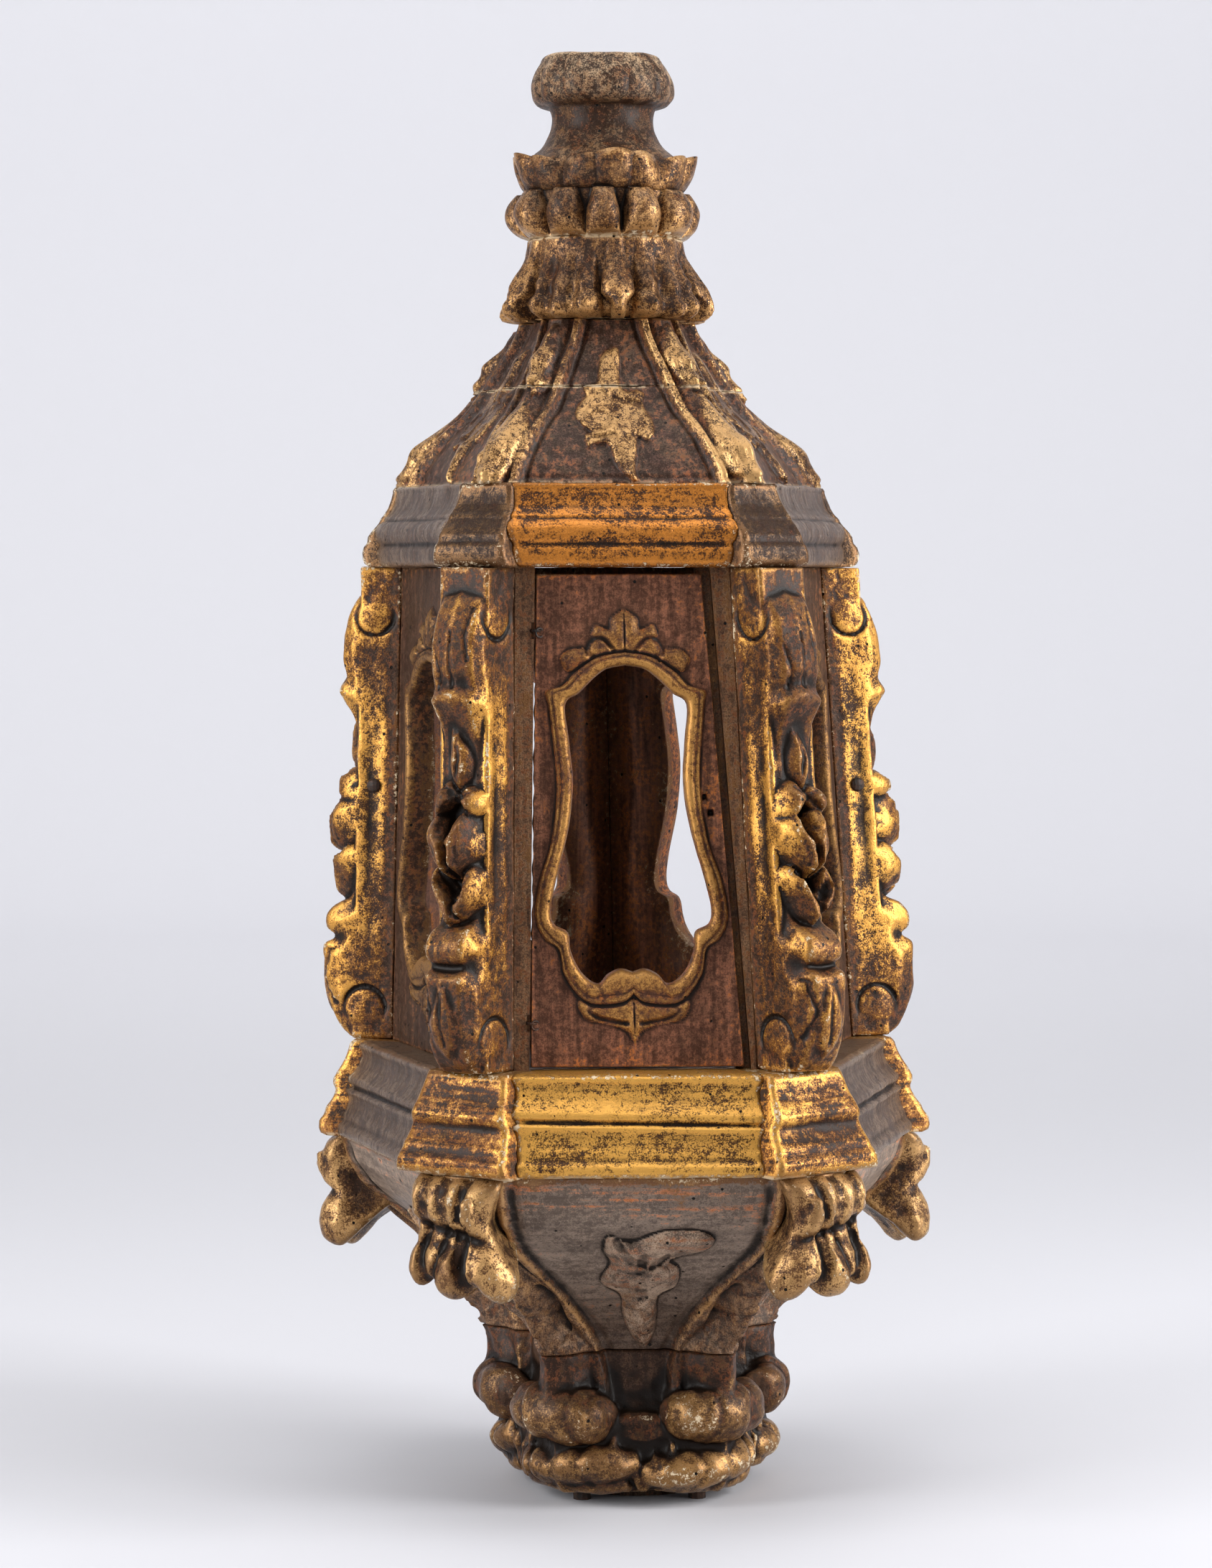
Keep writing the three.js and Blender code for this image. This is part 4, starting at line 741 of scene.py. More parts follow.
def dome():
    phi = all_round(720)
    face, _ = nearest_face(phi)
    from_corner, number = nearest_corner(phi)
    for name, z0, z1, bores, seed in DOME_BLOCKS:
        levels = np.linspace(z1, z0, int((z1 - z0) / (1.0)) + 1)
        z = levels[:, None] + 0 * phi
        surface = DOME_RIB(z) - 7.2
        flat = surface * COS + 1.8
        u, h = flat * np.tan(face), z - Z_DOME
        depth = outline_depth(spline(CARTOUCHE, closed=True), u, h)
        cartouche = clip01(depth / 2.6) ** 0.6 * 3.4 + veins(CARTOUCHE_VEINS, u, h) * (depth > 0)

        # Corner band: a fillet at its edge and a channel with leaves, mirrored from corner to corner
        across = surface * np.sin(HALF_TURN - np.abs(face))
        half = lerp(15.2, 13.6, h / 92)
        band = step(half + 0.8, half - 1.0, across)
        fillet = step(half + 0.6, half - 0.6, across) * step(half - 5.0, half - 3.2, across)
        channel = 1 - step(half - 5.4, half - 3.6, across)
        leaves = channel_leaves(z, surface * np.sin(from_corner) * np.where(number % 2 == 0, 1, -1))
        rib = band * 2.6 + fillet * 3.2 + channel * leaves - 1.6 * bump(across, half - 5.4, 2.2)
        rib = rib - 2.0 * step(half + 4.5, half + 0.8, across) * (1 - band)
        r = np.minimum(flat / np.cos(face), surface) + cartouche + rib - 0.9 * bump(z, Z_DOME + 3.2, 1.6)
        points, faces = hollow_ring(r, phi, levels, bores)
        raised = step(1.5, 4.5, leaves)
        # Painted shade: a corner band's bare channel is gilded less, and so darker, than the leaves that rise
        # in it
        shade = 0.22 * raised - 0.22 * channel * (1 - raised)
        on_corner = DOME_CORNER_GILD[number] - 0.14 + shade
        gild = 0.16 + 0.42 * step(0, 1.2, depth) + on_corner * band + 0.10 * fillet
        joint = np.maximum(bump(points[:, 2], Z_SPLIT, 1.4), 0.8 * bump(points[:, 2], Z_DOME, 1.6))
        make_mesh(name + "_carved", points, faces, GILT_DOME, [name], gild=with_bore(gild, 0.2), dust=0.25,
                  reach=4, uneven=0.9, seed=seed, marks={"seam": joint})


# Cornices: mouldings along the faces and blocks that break forward over the corners
def rounded_profile(points):
    """How far a profile given as (out, height) stands out, by share of its height."""
    top = points[-1][1]
    return curve([(h / top, out) for out, h in points])


UPPER_MOULDING = rounded_profile([(10.2, 0), (12.6, 0.9), (13.8, 3), (14.2, 6), (14.0, 9.4), (12.9, 11.2),
                                  (12.6, 12.8), (13.9, 14.2), (14.7, 17), (14.3, 20.5), (12.6, 23.6),
                                  (10.6, 25.2), (9.4, 25.9), (9.2, 27.6), (7.6, 29), (5.2, 32), (3.6, 36),
                                  (2.6, 40.2), (2.2, 42.4), (2.6, 43.4), (2.4, 44.6), (1.2, 45)])
UPPER_BLOCK = rounded_profile([(17.4, 0), (20.4, 1.4), (21.6, 4), (22.2, 8), (21.4, 11.4), (19.6, 13.4),
                               (19.2, 14.6), (19.0, 17), (16.8, 20.4), (14.2, 23.4), (12.4, 25.6),
                               (11.8, 27.4), (9.6, 29.6), (7.2, 33.4), (5.4, 38), (4.4, 42), (4.6, 43.4),
                               (3.4, 45)])
LOWER_MOULDING = rounded_profile([(31.3, 0), (33.4, 0.9), (34.0, 3), (33.6, 6.2), (31.6, 8.0), (30.6, 9.4),
                                  (30.4, 12), (28.2, 16), (27.0, 20), (27.2, 23), (28.2, 24.8), (27.8, 26.0),
                                  (24.9, 27.0), (25.0, 28.4), (26.7, 30.4), (26.4, 32.6), (23.4, 35.6),
                                  (20.4, 39.8), (18.6, 44.2), (18.4, 47), (19.6, 49.4), (19.4, 51.2),
                                  (17.6, 52.4), (15.8, 53)])
LOWER_BLOCK = rounded_profile([(35.2, 0), (38.6, 1.2), (39.8, 4), (39.6, 8.4), (37.4, 11), (36.4, 12.8),
                               (36.0, 15.2), (33.6, 18.4), (31.4, 22), (30.4, 24.6), (30.6, 26.4),
                               (32.2, 28.6), (32.4, 31.6), (30.6, 35), (27.6, 39.6), (25.2, 44.4),
                               (23.8, 48.6), (23.2, 51), (21.2, 53)])
# Each cornice: foot, top, the blocks' half widths there, and the body's sizes at its level
CORNICES = {"upper": (Z_UPPER, Z_DOME, (24, 16.5), BODY_FLAT[1], CORNER_FLAT[1]),
            "lower": (Z_LOWER, Z_BODY, (36, 25), BODY_FLAT[0], CORNER_FLAT[0])}
MOULDING_DEPTH, BLOCK_DEPTH = 8.5, 15.8
BLOCK_ROUNDING = 1.6


def cornice_piece(name, node, front, back, z0, turn, seed, finish, gild):
    """A piece of cornice from the rows of its carved front and of its back, joined by sawn sides."""
    rows, cols = front.shape[:2]
    points = np.concatenate([front.reshape(-1, 3), back.reshape(-1, 3)])
    index = np.arange(rows * cols).reshape(rows, cols)
    loop = np.concatenate([index[0, :], index[1:, -1], index[-1, -2::-1], index[-2:0:-1, 0]])
    after = np.roll(loop, -1)
    sides = np.stack([loop + rows * cols, after + rows * cols, after, loop], -1)
    sheet = grid_faces(rows, cols)
    faces = outward(points, np.concatenate([sheet[:, ::-1], sheet + rows * cols, sides]))
    seam = 0.8 * bump(points[:, 2], z0, 2.4) * (z0 < Z_BODY)
    make_mesh(name, points, faces, finish, [node], turn=turn, gild=gild, dust=0.12, reach=3, uneven=0.7,
              seed=seed, marks={"seam": seam}, flat=len(sides))


def moulding(cornice, k, profile, seed, finish, gild, dip=0.0):
    """A run of moulding along a face, between two corner blocks. It may dip to one side."""
    z0, z1, half, body, _ = CORNICES[cornice]
    heights = np.linspace(0, 1, 48)
    across = np.linspace(-1, 1, 90)

    def width_at(out):
        return ((out * SIN - lerp(*half, heights) - GLUE_GAP) / COS)[:, None] * across

    out = body + profile(heights)
    x = width_at(out)
    z = lerp(z0, z1, heights)[:, None] + dip * (x / 50.0) * np.sin(math.pi * heights[:, None])
    z[0], z[-1] = z0, z1
    seat = body - MOULDING_DEPTH + GLUE_GAP
    cornice_piece(f"{cornice}_moulding_carved_{FACES[k]}", f"{cornice}_moulding_{FACES[k]}",
                  np.stack([x, 0 * x - out[:, None], z], -1), np.stack([width_at(seat), 0 * x - seat, z], -1),
                  z0, k * TURN, seed, finish, gild)


def corner_block(cornice, k, profile, seed, finish, gild):
    """A block over a corner: a moulding that turns round both its sides."""
    z0, z1, half, _, body = CORNICES[cornice]
    heights = np.linspace(0, 1, 48)
    wide = lerp(*half, heights)
    seat = body - BLOCK_DEPTH + GLUE_GAP
    deep, broad = (np.linspace(0, 1, count) for count in (((16, 26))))
    rows = []
    for r, w, z in zip(body + profile(heights), wide, lerp(z0, z1, heights)):
        side = [(w, -lerp(seat, r - BLOCK_ROUNDING, t), z) for t in deep]
        face = [(lerp(w - BLOCK_ROUNDING, BLOCK_ROUNDING - w, t), -r, z) for t in broad]
        rows.append(side + face + [(-w, y, z) for _, y, _ in side[::-1]])
    front = np.array(rows)
    back = front.copy()
    back[..., 0] = 0.98 * wide[:, None] * np.linspace(1, -1, front.shape[1])
    back[..., 1] = -seat - 0.2
    cornice_piece(f"{cornice}_block_carved_{CORNERS[k]}", f"{cornice}_block_{CORNERS[k]}", front, back, z0,
                  (k + 0.5) * TURN, seed, finish, gild)


def cornices():
    for k, face in enumerate(FACES):
        if face == "front":
            moulding("upper", k, UPPER_MOULDING, 20 + k, AMBER_CORNICE, 0.71)
            moulding("lower", k, LOWER_MOULDING, 30 + k, GILT_CORNICE, 0.75, dip=-1.0)
        else:
            moulding("upper", k, UPPER_MOULDING, 20 + k, BARE_CORNICE, 0.40)
            moulding("lower", k, LOWER_MOULDING, 30 + k, BARE_CORNICE, 0.45)
    for k, corner in enumerate(CORNERS):
        corner_block("upper", k, UPPER_BLOCK, 40 + k, DUSKY_CORNICE, 0.52)
        corner_block("lower", k, LOWER_BLOCK, 50 + k, GILT_CORNICE, 0.50 if corner == "front_right" else 0.39)


# Body: five boards, each pierced by a violin-shaped window with a beaded rim and carved leaves.
# Outlines are right halves, from top to bottom, as (across, height above the body's foot).
WINDOW = [(0, 215.5), (10, 213.5), (17, 208.5), (25, 200.5), (32.5, 194.5), (31, 175), (29.5, 152), (33, 126),
          (40.5, 98), (43, 84), (41, 77), (34, 73), (33, 64), (29, 54), (23, 47.5), (17.5, 46), (13.5, 50.5),
          (6.5, 53.5), (0, 51.8)]
RIM = [(0, 223), (14, 220.5), (26, 213), (34, 205), (43, 201.5), (41.5, 192), (38.5, 152), (42, 122),
       (49, 100), (51.5, 82), (47, 70), (39.5, 64), (37, 51), (29, 39), (20, 34.5), (6, 35.5), (0, 40.5)]
CROWN = [(0, 246), (7, 241), (8.5, 235), (16, 237), (20.5, 226), (30, 224), (35, 219), (31, 212), (22, 215),
         (0, 219)]
CROWN_SPIRAL = spline([(6, 224), (12, 230), (19, 228), (20, 222), (15, 220)])
DROP = [(0, 13.5), (5, 21), (16, 24.5), (26, 27), (30, 35.5), (24, 38), (0, 38)]
DROP_SPIRAL = spline([(4, 25), (11, 26), (19, 28), (24, 32), (20, 35)])
# Section of the rim: share of its width, height over the board, and share of the rim's gilding
RIM_BEAD = [(0.0, -1.6, 0.35), (0.05, 1.4, 0.8), (0.13, 3.0, 1), (0.25, 3.9, 1), (0.40, 4.2, 1),
            (0.52, 4.0, 1), (0.62, 3.2, 0.9), (0.69, 2.5, 0.7), (0.76, 2.7, 0.9), (0.86, 2.9, 0.9),
            (0.94, 2.0, 0.7), (1.0, 0.2, 0.3)]
# Ends of the window's spine, and the height at which a board's middle is taken
RAY_TOP, RAY_FOOT = 190.0, 85.0
WAIST = 82
BOARD_GILD, RIM_GILD = 0.10, 0.54
# The door's two edges at the body's foot and top, the slit at the hung one, and the door's own foot and top
DOOR_LEFT, DOOR_RIGHT = (-56.504, -46.839), (58.30, 41.84)
DOOR_SLIT = 0.70
DOOR_FOOT, DOOR_TOP = 1.7, 264.2


def face_flat(h):
    """Distance of the body's faces from the axis, by height above its foot."""
    return lerp(*BODY_FLAT, h / BODY_HEIGHT)


def corner_flat(h):
    """Distance of the body's cut corners from the axis, by height above its foot."""
    return lerp(*CORNER_FLAT, h / BODY_HEIGHT)


def mirrored(half):
    """A closed outline from its right half, listed from top to bottom."""
    right = spline(half, 5)
    return np.concatenate([right, (right * [-1, 1])[-2:0:-1]])


def ray_reach(outline, y0, dx, dy):
    """How far rays run from places on the upright axis inside an outline to the outline."""
    ex, ey = (np.roll(outline, -1, 0) - outline).T
    cross = dx[:, None] * ey - dy[:, None] * ex
    cross = np.where(np.abs(cross) < 1e-9, 1e-9, cross)
    rx, ry = outline[:, 0], outline[:, 1] - y0[:, None]
    t = (rx * ey - ry * ex) / cross
    s = (rx * dy[:, None] - ry * dx[:, None]) / cross
    return np.where((s >= -1e-6) & (s <= 1 + 1e-6) & (t > 0), t, FAR).min(1)


def board_rays(edge_corners):
    """Rays from the window's spine to the board's edge, in order round it, the board's corners among them."""
    arc, side = (np.linspace(0, 1, int(count / (1.0)), endpoint=False)
                 for count in (190, 62))
    y0 = np.concatenate([RAY_TOP + 0 * arc, lerp(RAY_TOP, RAY_FOOT, side), RAY_FOOT + 0 * arc,
                         lerp(RAY_FOOT, RAY_TOP, side)])
    angle = np.concatenate([lerp(math.pi, 0, arc), 0 * side, lerp(0, -math.pi, arc), math.pi + 0 * side])
    for x, y in edge_corners:
        spine = RAY_TOP if y > RAY_TOP else RAY_FOOT
        exact = math.atan2(y - spine, x)
        gap = np.where(y0 == spine, np.abs(angle - exact), FAR)
        angle[gap.argmin()] = exact
    return y0, np.cos(angle), np.sin(angle)


def board(name, node, turn, left, right, low, high, thick, edges, body, seed, finish, holes=()):
    """A pierced board. left and right give its edges by height, and edges the rows that take them inside."""
    middle = (left(WAIST) + right(WAIST)) / 2
    edge_corners = np.array([(left(low) - middle, low), (right(low) - middle, low),
                             (right(high) - middle, high), (left(high) - middle, high)])
    y0, dx, dy = board_rays(edge_corners)
    reach_in = ray_reach(mirrored(WINDOW), y0, dx, dy)
    reach_out = ray_reach(edge_corners, y0, dx, dy)
    reach_rim = np.minimum(np.maximum(ray_reach(mirrored(RIM), y0, dx, dy), reach_in + 3), reach_out - 0.6)

    # Rows from the window outwards: how far along the rays, how far proud of the board, and how gilded
    rim = [(reach_in + 0.4, 1.2 - thick, 0.0), (reach_in + 0.1, -0.6 * thick, 0.05), (reach_in, -3.0, 0.2)]
    rim += [(lerp(reach_in, reach_rim, t), proud, share) for t, proud, share in RIM_BEAD]
    plain = [(lerp(reach_rim + 0.8, reach_out, t), 0.0, 0.0)
             for t in np.linspace(0, 1, 39)[1:]]
    reach, proud, share = (np.array(values) for values in zip(*rim, *plain))
    field = (np.arange(len(reach)) >= len(rim))[:, None]
    x, y = reach * dx, y0 + reach * dy
    leaf = np.zeros_like(x)
    for half, spiral in ((CROWN, CROWN_SPIRAL), (DROP, DROP_SPIRAL)):
        depth = outline_depth(mirrored(half), x, y)
        swell = clip01(depth / 4.5) ** 0.6 * 3.6 - vein(spiral, 1.6, np.abs(x), y) * 1.9 * (depth > 0)
        leaf = np.maximum(leaf, (swell - clip01(1 - np.abs(x) / 1.1) * 1.2 * (depth > 2)) * field)
    out = face_flat(y) + proud[:, None] + leaf
    for hole_x, hole_y, radius in holes:
        away = np.hypot(x + middle - hole_x, y - hole_y)
        out = out - 4.5 * step(radius + 0.9, radius - 0.2, away) * field
    gild = lerp(BOARD_GILD, RIM_GILD, np.maximum(share[:, None], clip01(leaf) * 0.95))
    gild[:3] = 0.25
    points = [np.stack([x + middle, -out, y + Z_BODY], -1).reshape(-1, 3)]

    # Round the board's edge, and across its back to the window. Its foot and top narrow with their rows.
    ex, ey = x[-1] + middle, y[-1]
    on_right = ex > (left(ey) + right(ey)) / 2
    own_edge = np.where(on_right, right(ey), left(ey))
    on_end = ((np.abs(ey - low) <= 1e-3) | (np.abs(ey - high) <= 1e-3)) & (np.abs(ex - own_edge) >= 0.05)
    share_x = np.where(on_end, np.abs(ex) / np.maximum(np.abs(own_edge), 1e-6), 1.0)
    for row_left, row_right, row_out in edges(ey):
        edge_x = np.where(on_right, row_right, row_left) * share_x
        points.append(np.stack([edge_x, -row_out, ey + Z_BODY], -1))
    for t in (0.5, 1.0):
        tx, ty = lerp(edge_x, middle + (reach_in + 0.6) * dx, t), lerp(ey, y0 + (reach_in + 0.6) * dy, t)
        points.append(np.stack([tx, thick - face_flat(ty), ty + Z_BODY], -1))
    gild = np.concatenate([gild.ravel(), np.repeat([0.1, 0.1, 0.05, 0.05], len(ex))])
    points = np.concatenate(points)
    faces = outward(points, grid_faces(len(points) // len(dx), len(dx), True, True))
    make_mesh(name, points, faces, finish, [node], body=body, turn=turn, gild=gild,
              dust=0.18, reach=2.6, uneven=0.3, seed=seed)


def panel_right(h):
    """Where a fixed board meets the cut corner, by height."""
    return (corner_flat(h) - face_flat(h) * COS) / SIN


def panel_left(h):
    return -panel_right(h)


def panel_edges(h):
    """Left, right and out of the two rows that take a board's edge onto the cut corner and back inside."""
    outer = corner_flat(h) - 0.4
    inner = (face_flat(h) - BOARD) / COS
    return ((-outer * SIN, outer * SIN, outer * COS),
            (0.3 - inner * SIN, inner * SIN - 0.3, face_flat(h) - BOARD))


def door_left(h):
    """The door's hung edge, which leaves an uneven slit to the post."""
    return lerp(*DOOR_LEFT, h / BODY_HEIGHT) + DOOR_SLIT + 0.50 * np.sin(h / 6.3) * np.sin(h / 2.7)


def door_right(h):
    return lerp(*DOOR_RIGHT, h / BODY_HEIGHT)


def door_edges(h):
    return [(door_left(h), door_right(h), face_flat(h) - inset) for inset in (4.5, DOOR_BOARD)]


def panels():
    # The left and right boards take the darker copy of the dark wood as painted shade, the back ones the
    # plain copy
    for k, face in enumerate(FACES[1:], 1):
        board("panel_carved_" + face, "panel_" + face, k * TURN, panel_left, panel_right, GLUE_GAP,
              BODY_HEIGHT - GLUE_GAP, BOARD, panel_edges, "case", 60 + k,
              DARK if face.startswith("back") else DARK_WOOD_PAINTED_SHADE)


def door():
    latch_holes = ((door_right(145) - 9.5, 145, 1.9), (door_right(136.5) - 6, 136.5, 1.3))
    board("door_carved", "door_panel", 0.0, door_left, door_right, DOOR_FOOT, DOOR_TOP, DOOR_BOARD,
          door_edges, "door", 70, DARK, latch_holes)


# Corner brackets: hood, bud, tulip, roll and tablet, one carving repeated with its own unevenness
BRACKET = [(27, 0), (34, 6), (40, 17), (43.5, 29), (44.5, 43), (45, 52), (38, 56.5), (43, 61), (44, 69),
           (38.5, 76), (29, 80.5), (26, 90), (25.5, 115), (25.5, 155), (26, 171), (30, 185), (35.5, 193),
           (40, 200), (36, 207), (38.5, 215), (38, 229), (35, 241), (30, 251), (22, 258), (20, 268)]
BRACKET_SIDE = np.concatenate([spline(BRACKET, 3), [(-40, 268), (-40, 0)]])
BRACKET_LEAF = spline([(0, 50), (6, 40), (9.5, 26), (6, 14), (0, 8), (-7, 15), (-8.5, 27), (-5, 40)], 3, True)
BRACKET_GROOVES = [([(0, 234), (0.5, 204)], 1.0, 1.5), ([(-11, 226), (-7, 212), (-9, 203)], 1.1, 1.2),
                   ([(10, 246), (8, 232), (10, 220)], 1.1, 1.1),
                   ([(0.5, 48), (-0.5, 32), (0.5, 16)], 1.2, 1.2),
                   ([(-12, 50), (-9, 34), (-12, 20)], 1.6, 1.6)]
# Husks of bud and tulip: outline, height and how far in they reach it, then the cuts between their leaves
HUSKS = [([(0, 192), (4, 181), (7.5, 169), (7.2, 158), (0, 147), (-7.2, 158), (-7.6, 169), (-4.2, 181)],
          8.0, 5.0),
         ([(0, 149), (5, 153), (12, 151), (15.4, 143), (12, 135), (5, 136), (0, 141), (-5, 135), (-11, 134),
           (-15.4, 141), (-14, 150), (-6, 154)], 13.0, 5.6),
         ([(0, 103), (7, 106), (12.5, 113), (15.2, 124), (13.5, 135), (8, 141), (3, 137), (0, 130),
           (-4, 137), (-9.5, 140), (-14.4, 133), (-15.4, 122), (-12, 112), (-6, 105)], 19.0, 7.2),
         ([(0, 74), (6, 80), (13.5, 90), (15.6, 102), (11, 110), (5, 106), (0, 97), (-6, 107), (-12, 110),
           (-15.8, 101), (-13, 90), (-5, 79)], 16.0, 6.2)]
HUSK_CUTS = [([(0.5, 134), (-0.5, 122), (0.5, 106)], 2.2, 6.5), ([(7, 136), (8, 124), (5, 112)], 1.4, 2.2),
             ([(-9, 135), (-8, 122), (-5, 112)], 1.4, 2.2), ([(-10, 106), (-3, 97), (4, 84)], 1.7, 4.0),
             ([(10, 104), (5, 96), (0, 91)], 1.5, 3.0), ([(-7, 150), (0, 144), (7, 149)], 1.8, 3.6),
             ([(9, 139), (4, 143), (0, 148)], 1.4, 2.6), ([(0, 186), (0.5, 170), (-0.5, 155)], 1.3, 1.6)]


def bracket_shape():
    """Points and faces of one bracket, as (across, out from its seat, height)."""
    size = 1.2
    low, (x, o, h) = sample_grid((-18, -3, 0), (18, 48, 268), size)
    ax = np.abs(x)
    fx, fh = x[:, 0, :], h[:, 0, :]

    # Side outline, with slopes to both sides of hood, roll and tablet, narrower at its rim
    droop = 5.0 * (ax / 16) ** 2 * bump(h, 200, 26) - 2.0 * (ax / 16) ** 2 * bump(h, 55, 12)
    depth = outline_depth(BRACKET_SIDE, o, h + droop)
    roll = step(54, 60, h) * (1 - step(78, 86, h))
    slope = step(186, 200, h) * 0.23 * ax + (1 - step(50, 56, h)) * 0.05 * ax
    slope = slope + roll * (0.02 * ax ** 1.6 / 2.2)
    half = 16.0 - 5.2 * clip01(1 - depth / 10.5) * (o > 10)
    shape = smax(slope * (o > 10) - depth, ax - half, 1.6)

    # Bud and tulip, on wandering places so that no line is straight
    wx = fx + 1.3 * np.sin(fh / 9.0) + 0.8 * np.sin(fh / 4.1 + 1)
    wh = fh + 1.2 * np.sin(fx / 5.0 + fh / 13.0)
    carved = np.zeros_like(fx)
    for outline, high, soft in HUSKS:
        inside = outline_depth(spline(outline, closed=True), wx, wh)
        carved = np.maximum(carved, clip01(inside / soft) ** 0.55 * high)
    for cut, wide, deep in HUSK_CUTS:
        carved = carved - vein(spline(cut), wide, wx, wh) * deep * (carved > 1)
    motif = smax((o - (24.6 + carved)[:, None, :]) * 0.62, ax - 15.8, 1.0)
    shape = smin(shape, motif, 0.8)

    # Grooves and a leaf on the front, spirals and a swell on the flanks
    leaf = 2.4 * step(-0.6, 3.6, outline_depth(BRACKET_LEAF, fx, fh))
    shape = shape + step(18, 26, o) * (veins(BRACKET_GROOVES, fx, fh) - leaf)[:, None, :]
    side = step(8, 14, ax)
    for at_o, at_h, r, turn_from in ((15.5, 241, 11.5, 1), (17.5, 17, 12.5, -1)):
        ring = np.hypot(o - at_o, h - at_h)
        toward = clip01(0.6 - turn_from * (h - at_h) / r)
        shape = shape + 1.9 * side * bump(ring, r, 2.2) * toward - 0.7 * side * bump(ring, 0, r)
    shape = shape + 0.9 * bump(o, 15, 7) * bump(h, 130, 96) * side
    cut = smax(shape, 0.2 - o, 0.2)
    return surface_net(np.maximum(cut, np.maximum(0.2 - h, h - 267.8)), low, size)


def brackets():
    bracket_points, bracket_faces = bracket_shape()
    x, o, h = bracket_points.T
    seat = corner_flat(np.clip(h, 0, BODY_HEIGHT)) + GLUE_GAP
    flank = step(10, 13, np.abs(x)) * bump(h, 134, 150) * step(6, 9, o)
    # Painted light: the right corner bracket's flanks are gilded brighter than the left one's, on top of
    # their worn gilding, standing in for the stronger light from the right
    flank_gild_and_light = {"right": 0.90, "left": 0.70}
    for k, corner in enumerate(CORNERS):
        points = np.stack([-x if k % 2 else x, -(seat + o), h + Z_BODY], -1)
        front_gild = 0.30 if corner == "front_left" else 0.38
        gild = lerp(front_gild, flank_gild_and_light.get(corner, 0.61), flank) - 0.22 * step(6, 3, o)
        make_mesh("bracket_carved_" + corner, points, outward(points, bracket_faces), GILT,
                  ["bracket_" + corner], turn=(k + 0.5) * TURN, gild=gild, dust=0.2, reach=3.2, uneven=0.9,
                  seed=80 + 3 * k)


# Curves of the bowl and the neck under it, by height: face, corner, and the leaf edges that frame each face
BOWL_FLAT = smooth_curve([(40, 58), (50, 57), (60, 55.5), (72, 55), (84, 55), (95, 58), (108, 68), (122, 82),
                          (136, 98), (150, 114), (164, 130), (178, 140), (192, 144)])
BOWL_CORNER = smooth_curve([(40, 84), (50, 82), (60, 79), (68, 77), (76, 76.5), (84, 78), (95, 84), (108, 93),
                            (122, 104), (136, 118), (150, 134), (164, 150), (178, 160), (192, 166)])
LEAF_LINE = smooth_curve([(40, 13), (50, 13.5), (70, 15.5), (84, 19), (98, 25), (120, 40), (141, 57),
                          (150, 64), (165, 69), (180, 71), (192, 72)])


def rounded(lines):
    """The same (points, width, height) lines with their points joined smoothly."""
    return [(spline(points), width, high) for points, width, high in lines]


# Leaf drops under the lower cornice: rolled flutes above, three full lobes below, as (across, height)
DROP_OUTLINE = spline([(-27, 200), (27, 200), (27, 180), (24.5, 168), (27.5, 158), (33, 149), (36.5, 140),
                       (34.5, 130), (27.5, 124.6), (20, 126.5), (14.5, 133.5), (11.5, 130), (5, 124.6),
                       (-4, 123.6), (-11.5, 127), (-15, 135.5), (-19, 132), (-25, 130.5), (-31, 135),
                       (-33, 144), (-30.5, 154), (-25.5, 163), (-26.5, 178)], 3, True)
DROP_VALLEYS = rounded([([(-16, 196), (-15.5, 182), (-13.5, 168)], (3.6, 4.6), 2.4),
                        ([(-3, 196), (-2, 182), (0, 168)], (3.6, 4.6), 2.0),
                        ([(9, 196), (10.5, 182), (9.5, 168), (7.0, 152), (9.5, 130)], (3.4, 4.8), 3.4),
                        ([(-13, 164), (-19, 152), (-18, 134)], (2.8, 4.8), 2.8),
                        ([(2, 160), (-5, 149), (-10, 140)], (5.0, 3.6), 2.2),
                        ([(26, 170), (29, 156), (33, 144)], (2.0, 3.0), 1.6)])
DROP_RIDGES = rounded([([(16, 178), (18.5, 160), (20.5, 134)], (3.0, 10.5), 3.8),
                       ([(7, 164), (1, 150), (-5, 131)], (4.4, 9.0), 2.6),
                       ([(-22, 160), (-25, 148), (-26, 138)], (3.5, 7.0), 2.0),
                       ([(14, 174), (13.2, 154), (12.8, 134)], (1.2, 1.6), 1.5)])
DROP_CREST = smooth_curve([(120, 168), (126, 173), (133, 178), (141, 180), (149, 178.5), (156, 174.5),
                           (162, 175.5), (170, 180.5), (180, 181.8), (187, 178.5), (192, 171)])
DROP_BACK = smooth_curve([(120, 166), (130, 160), (138, 153), (146, 143), (156, 128), (168, 112), (192, 100)])
DROP_FRONT = 181.8


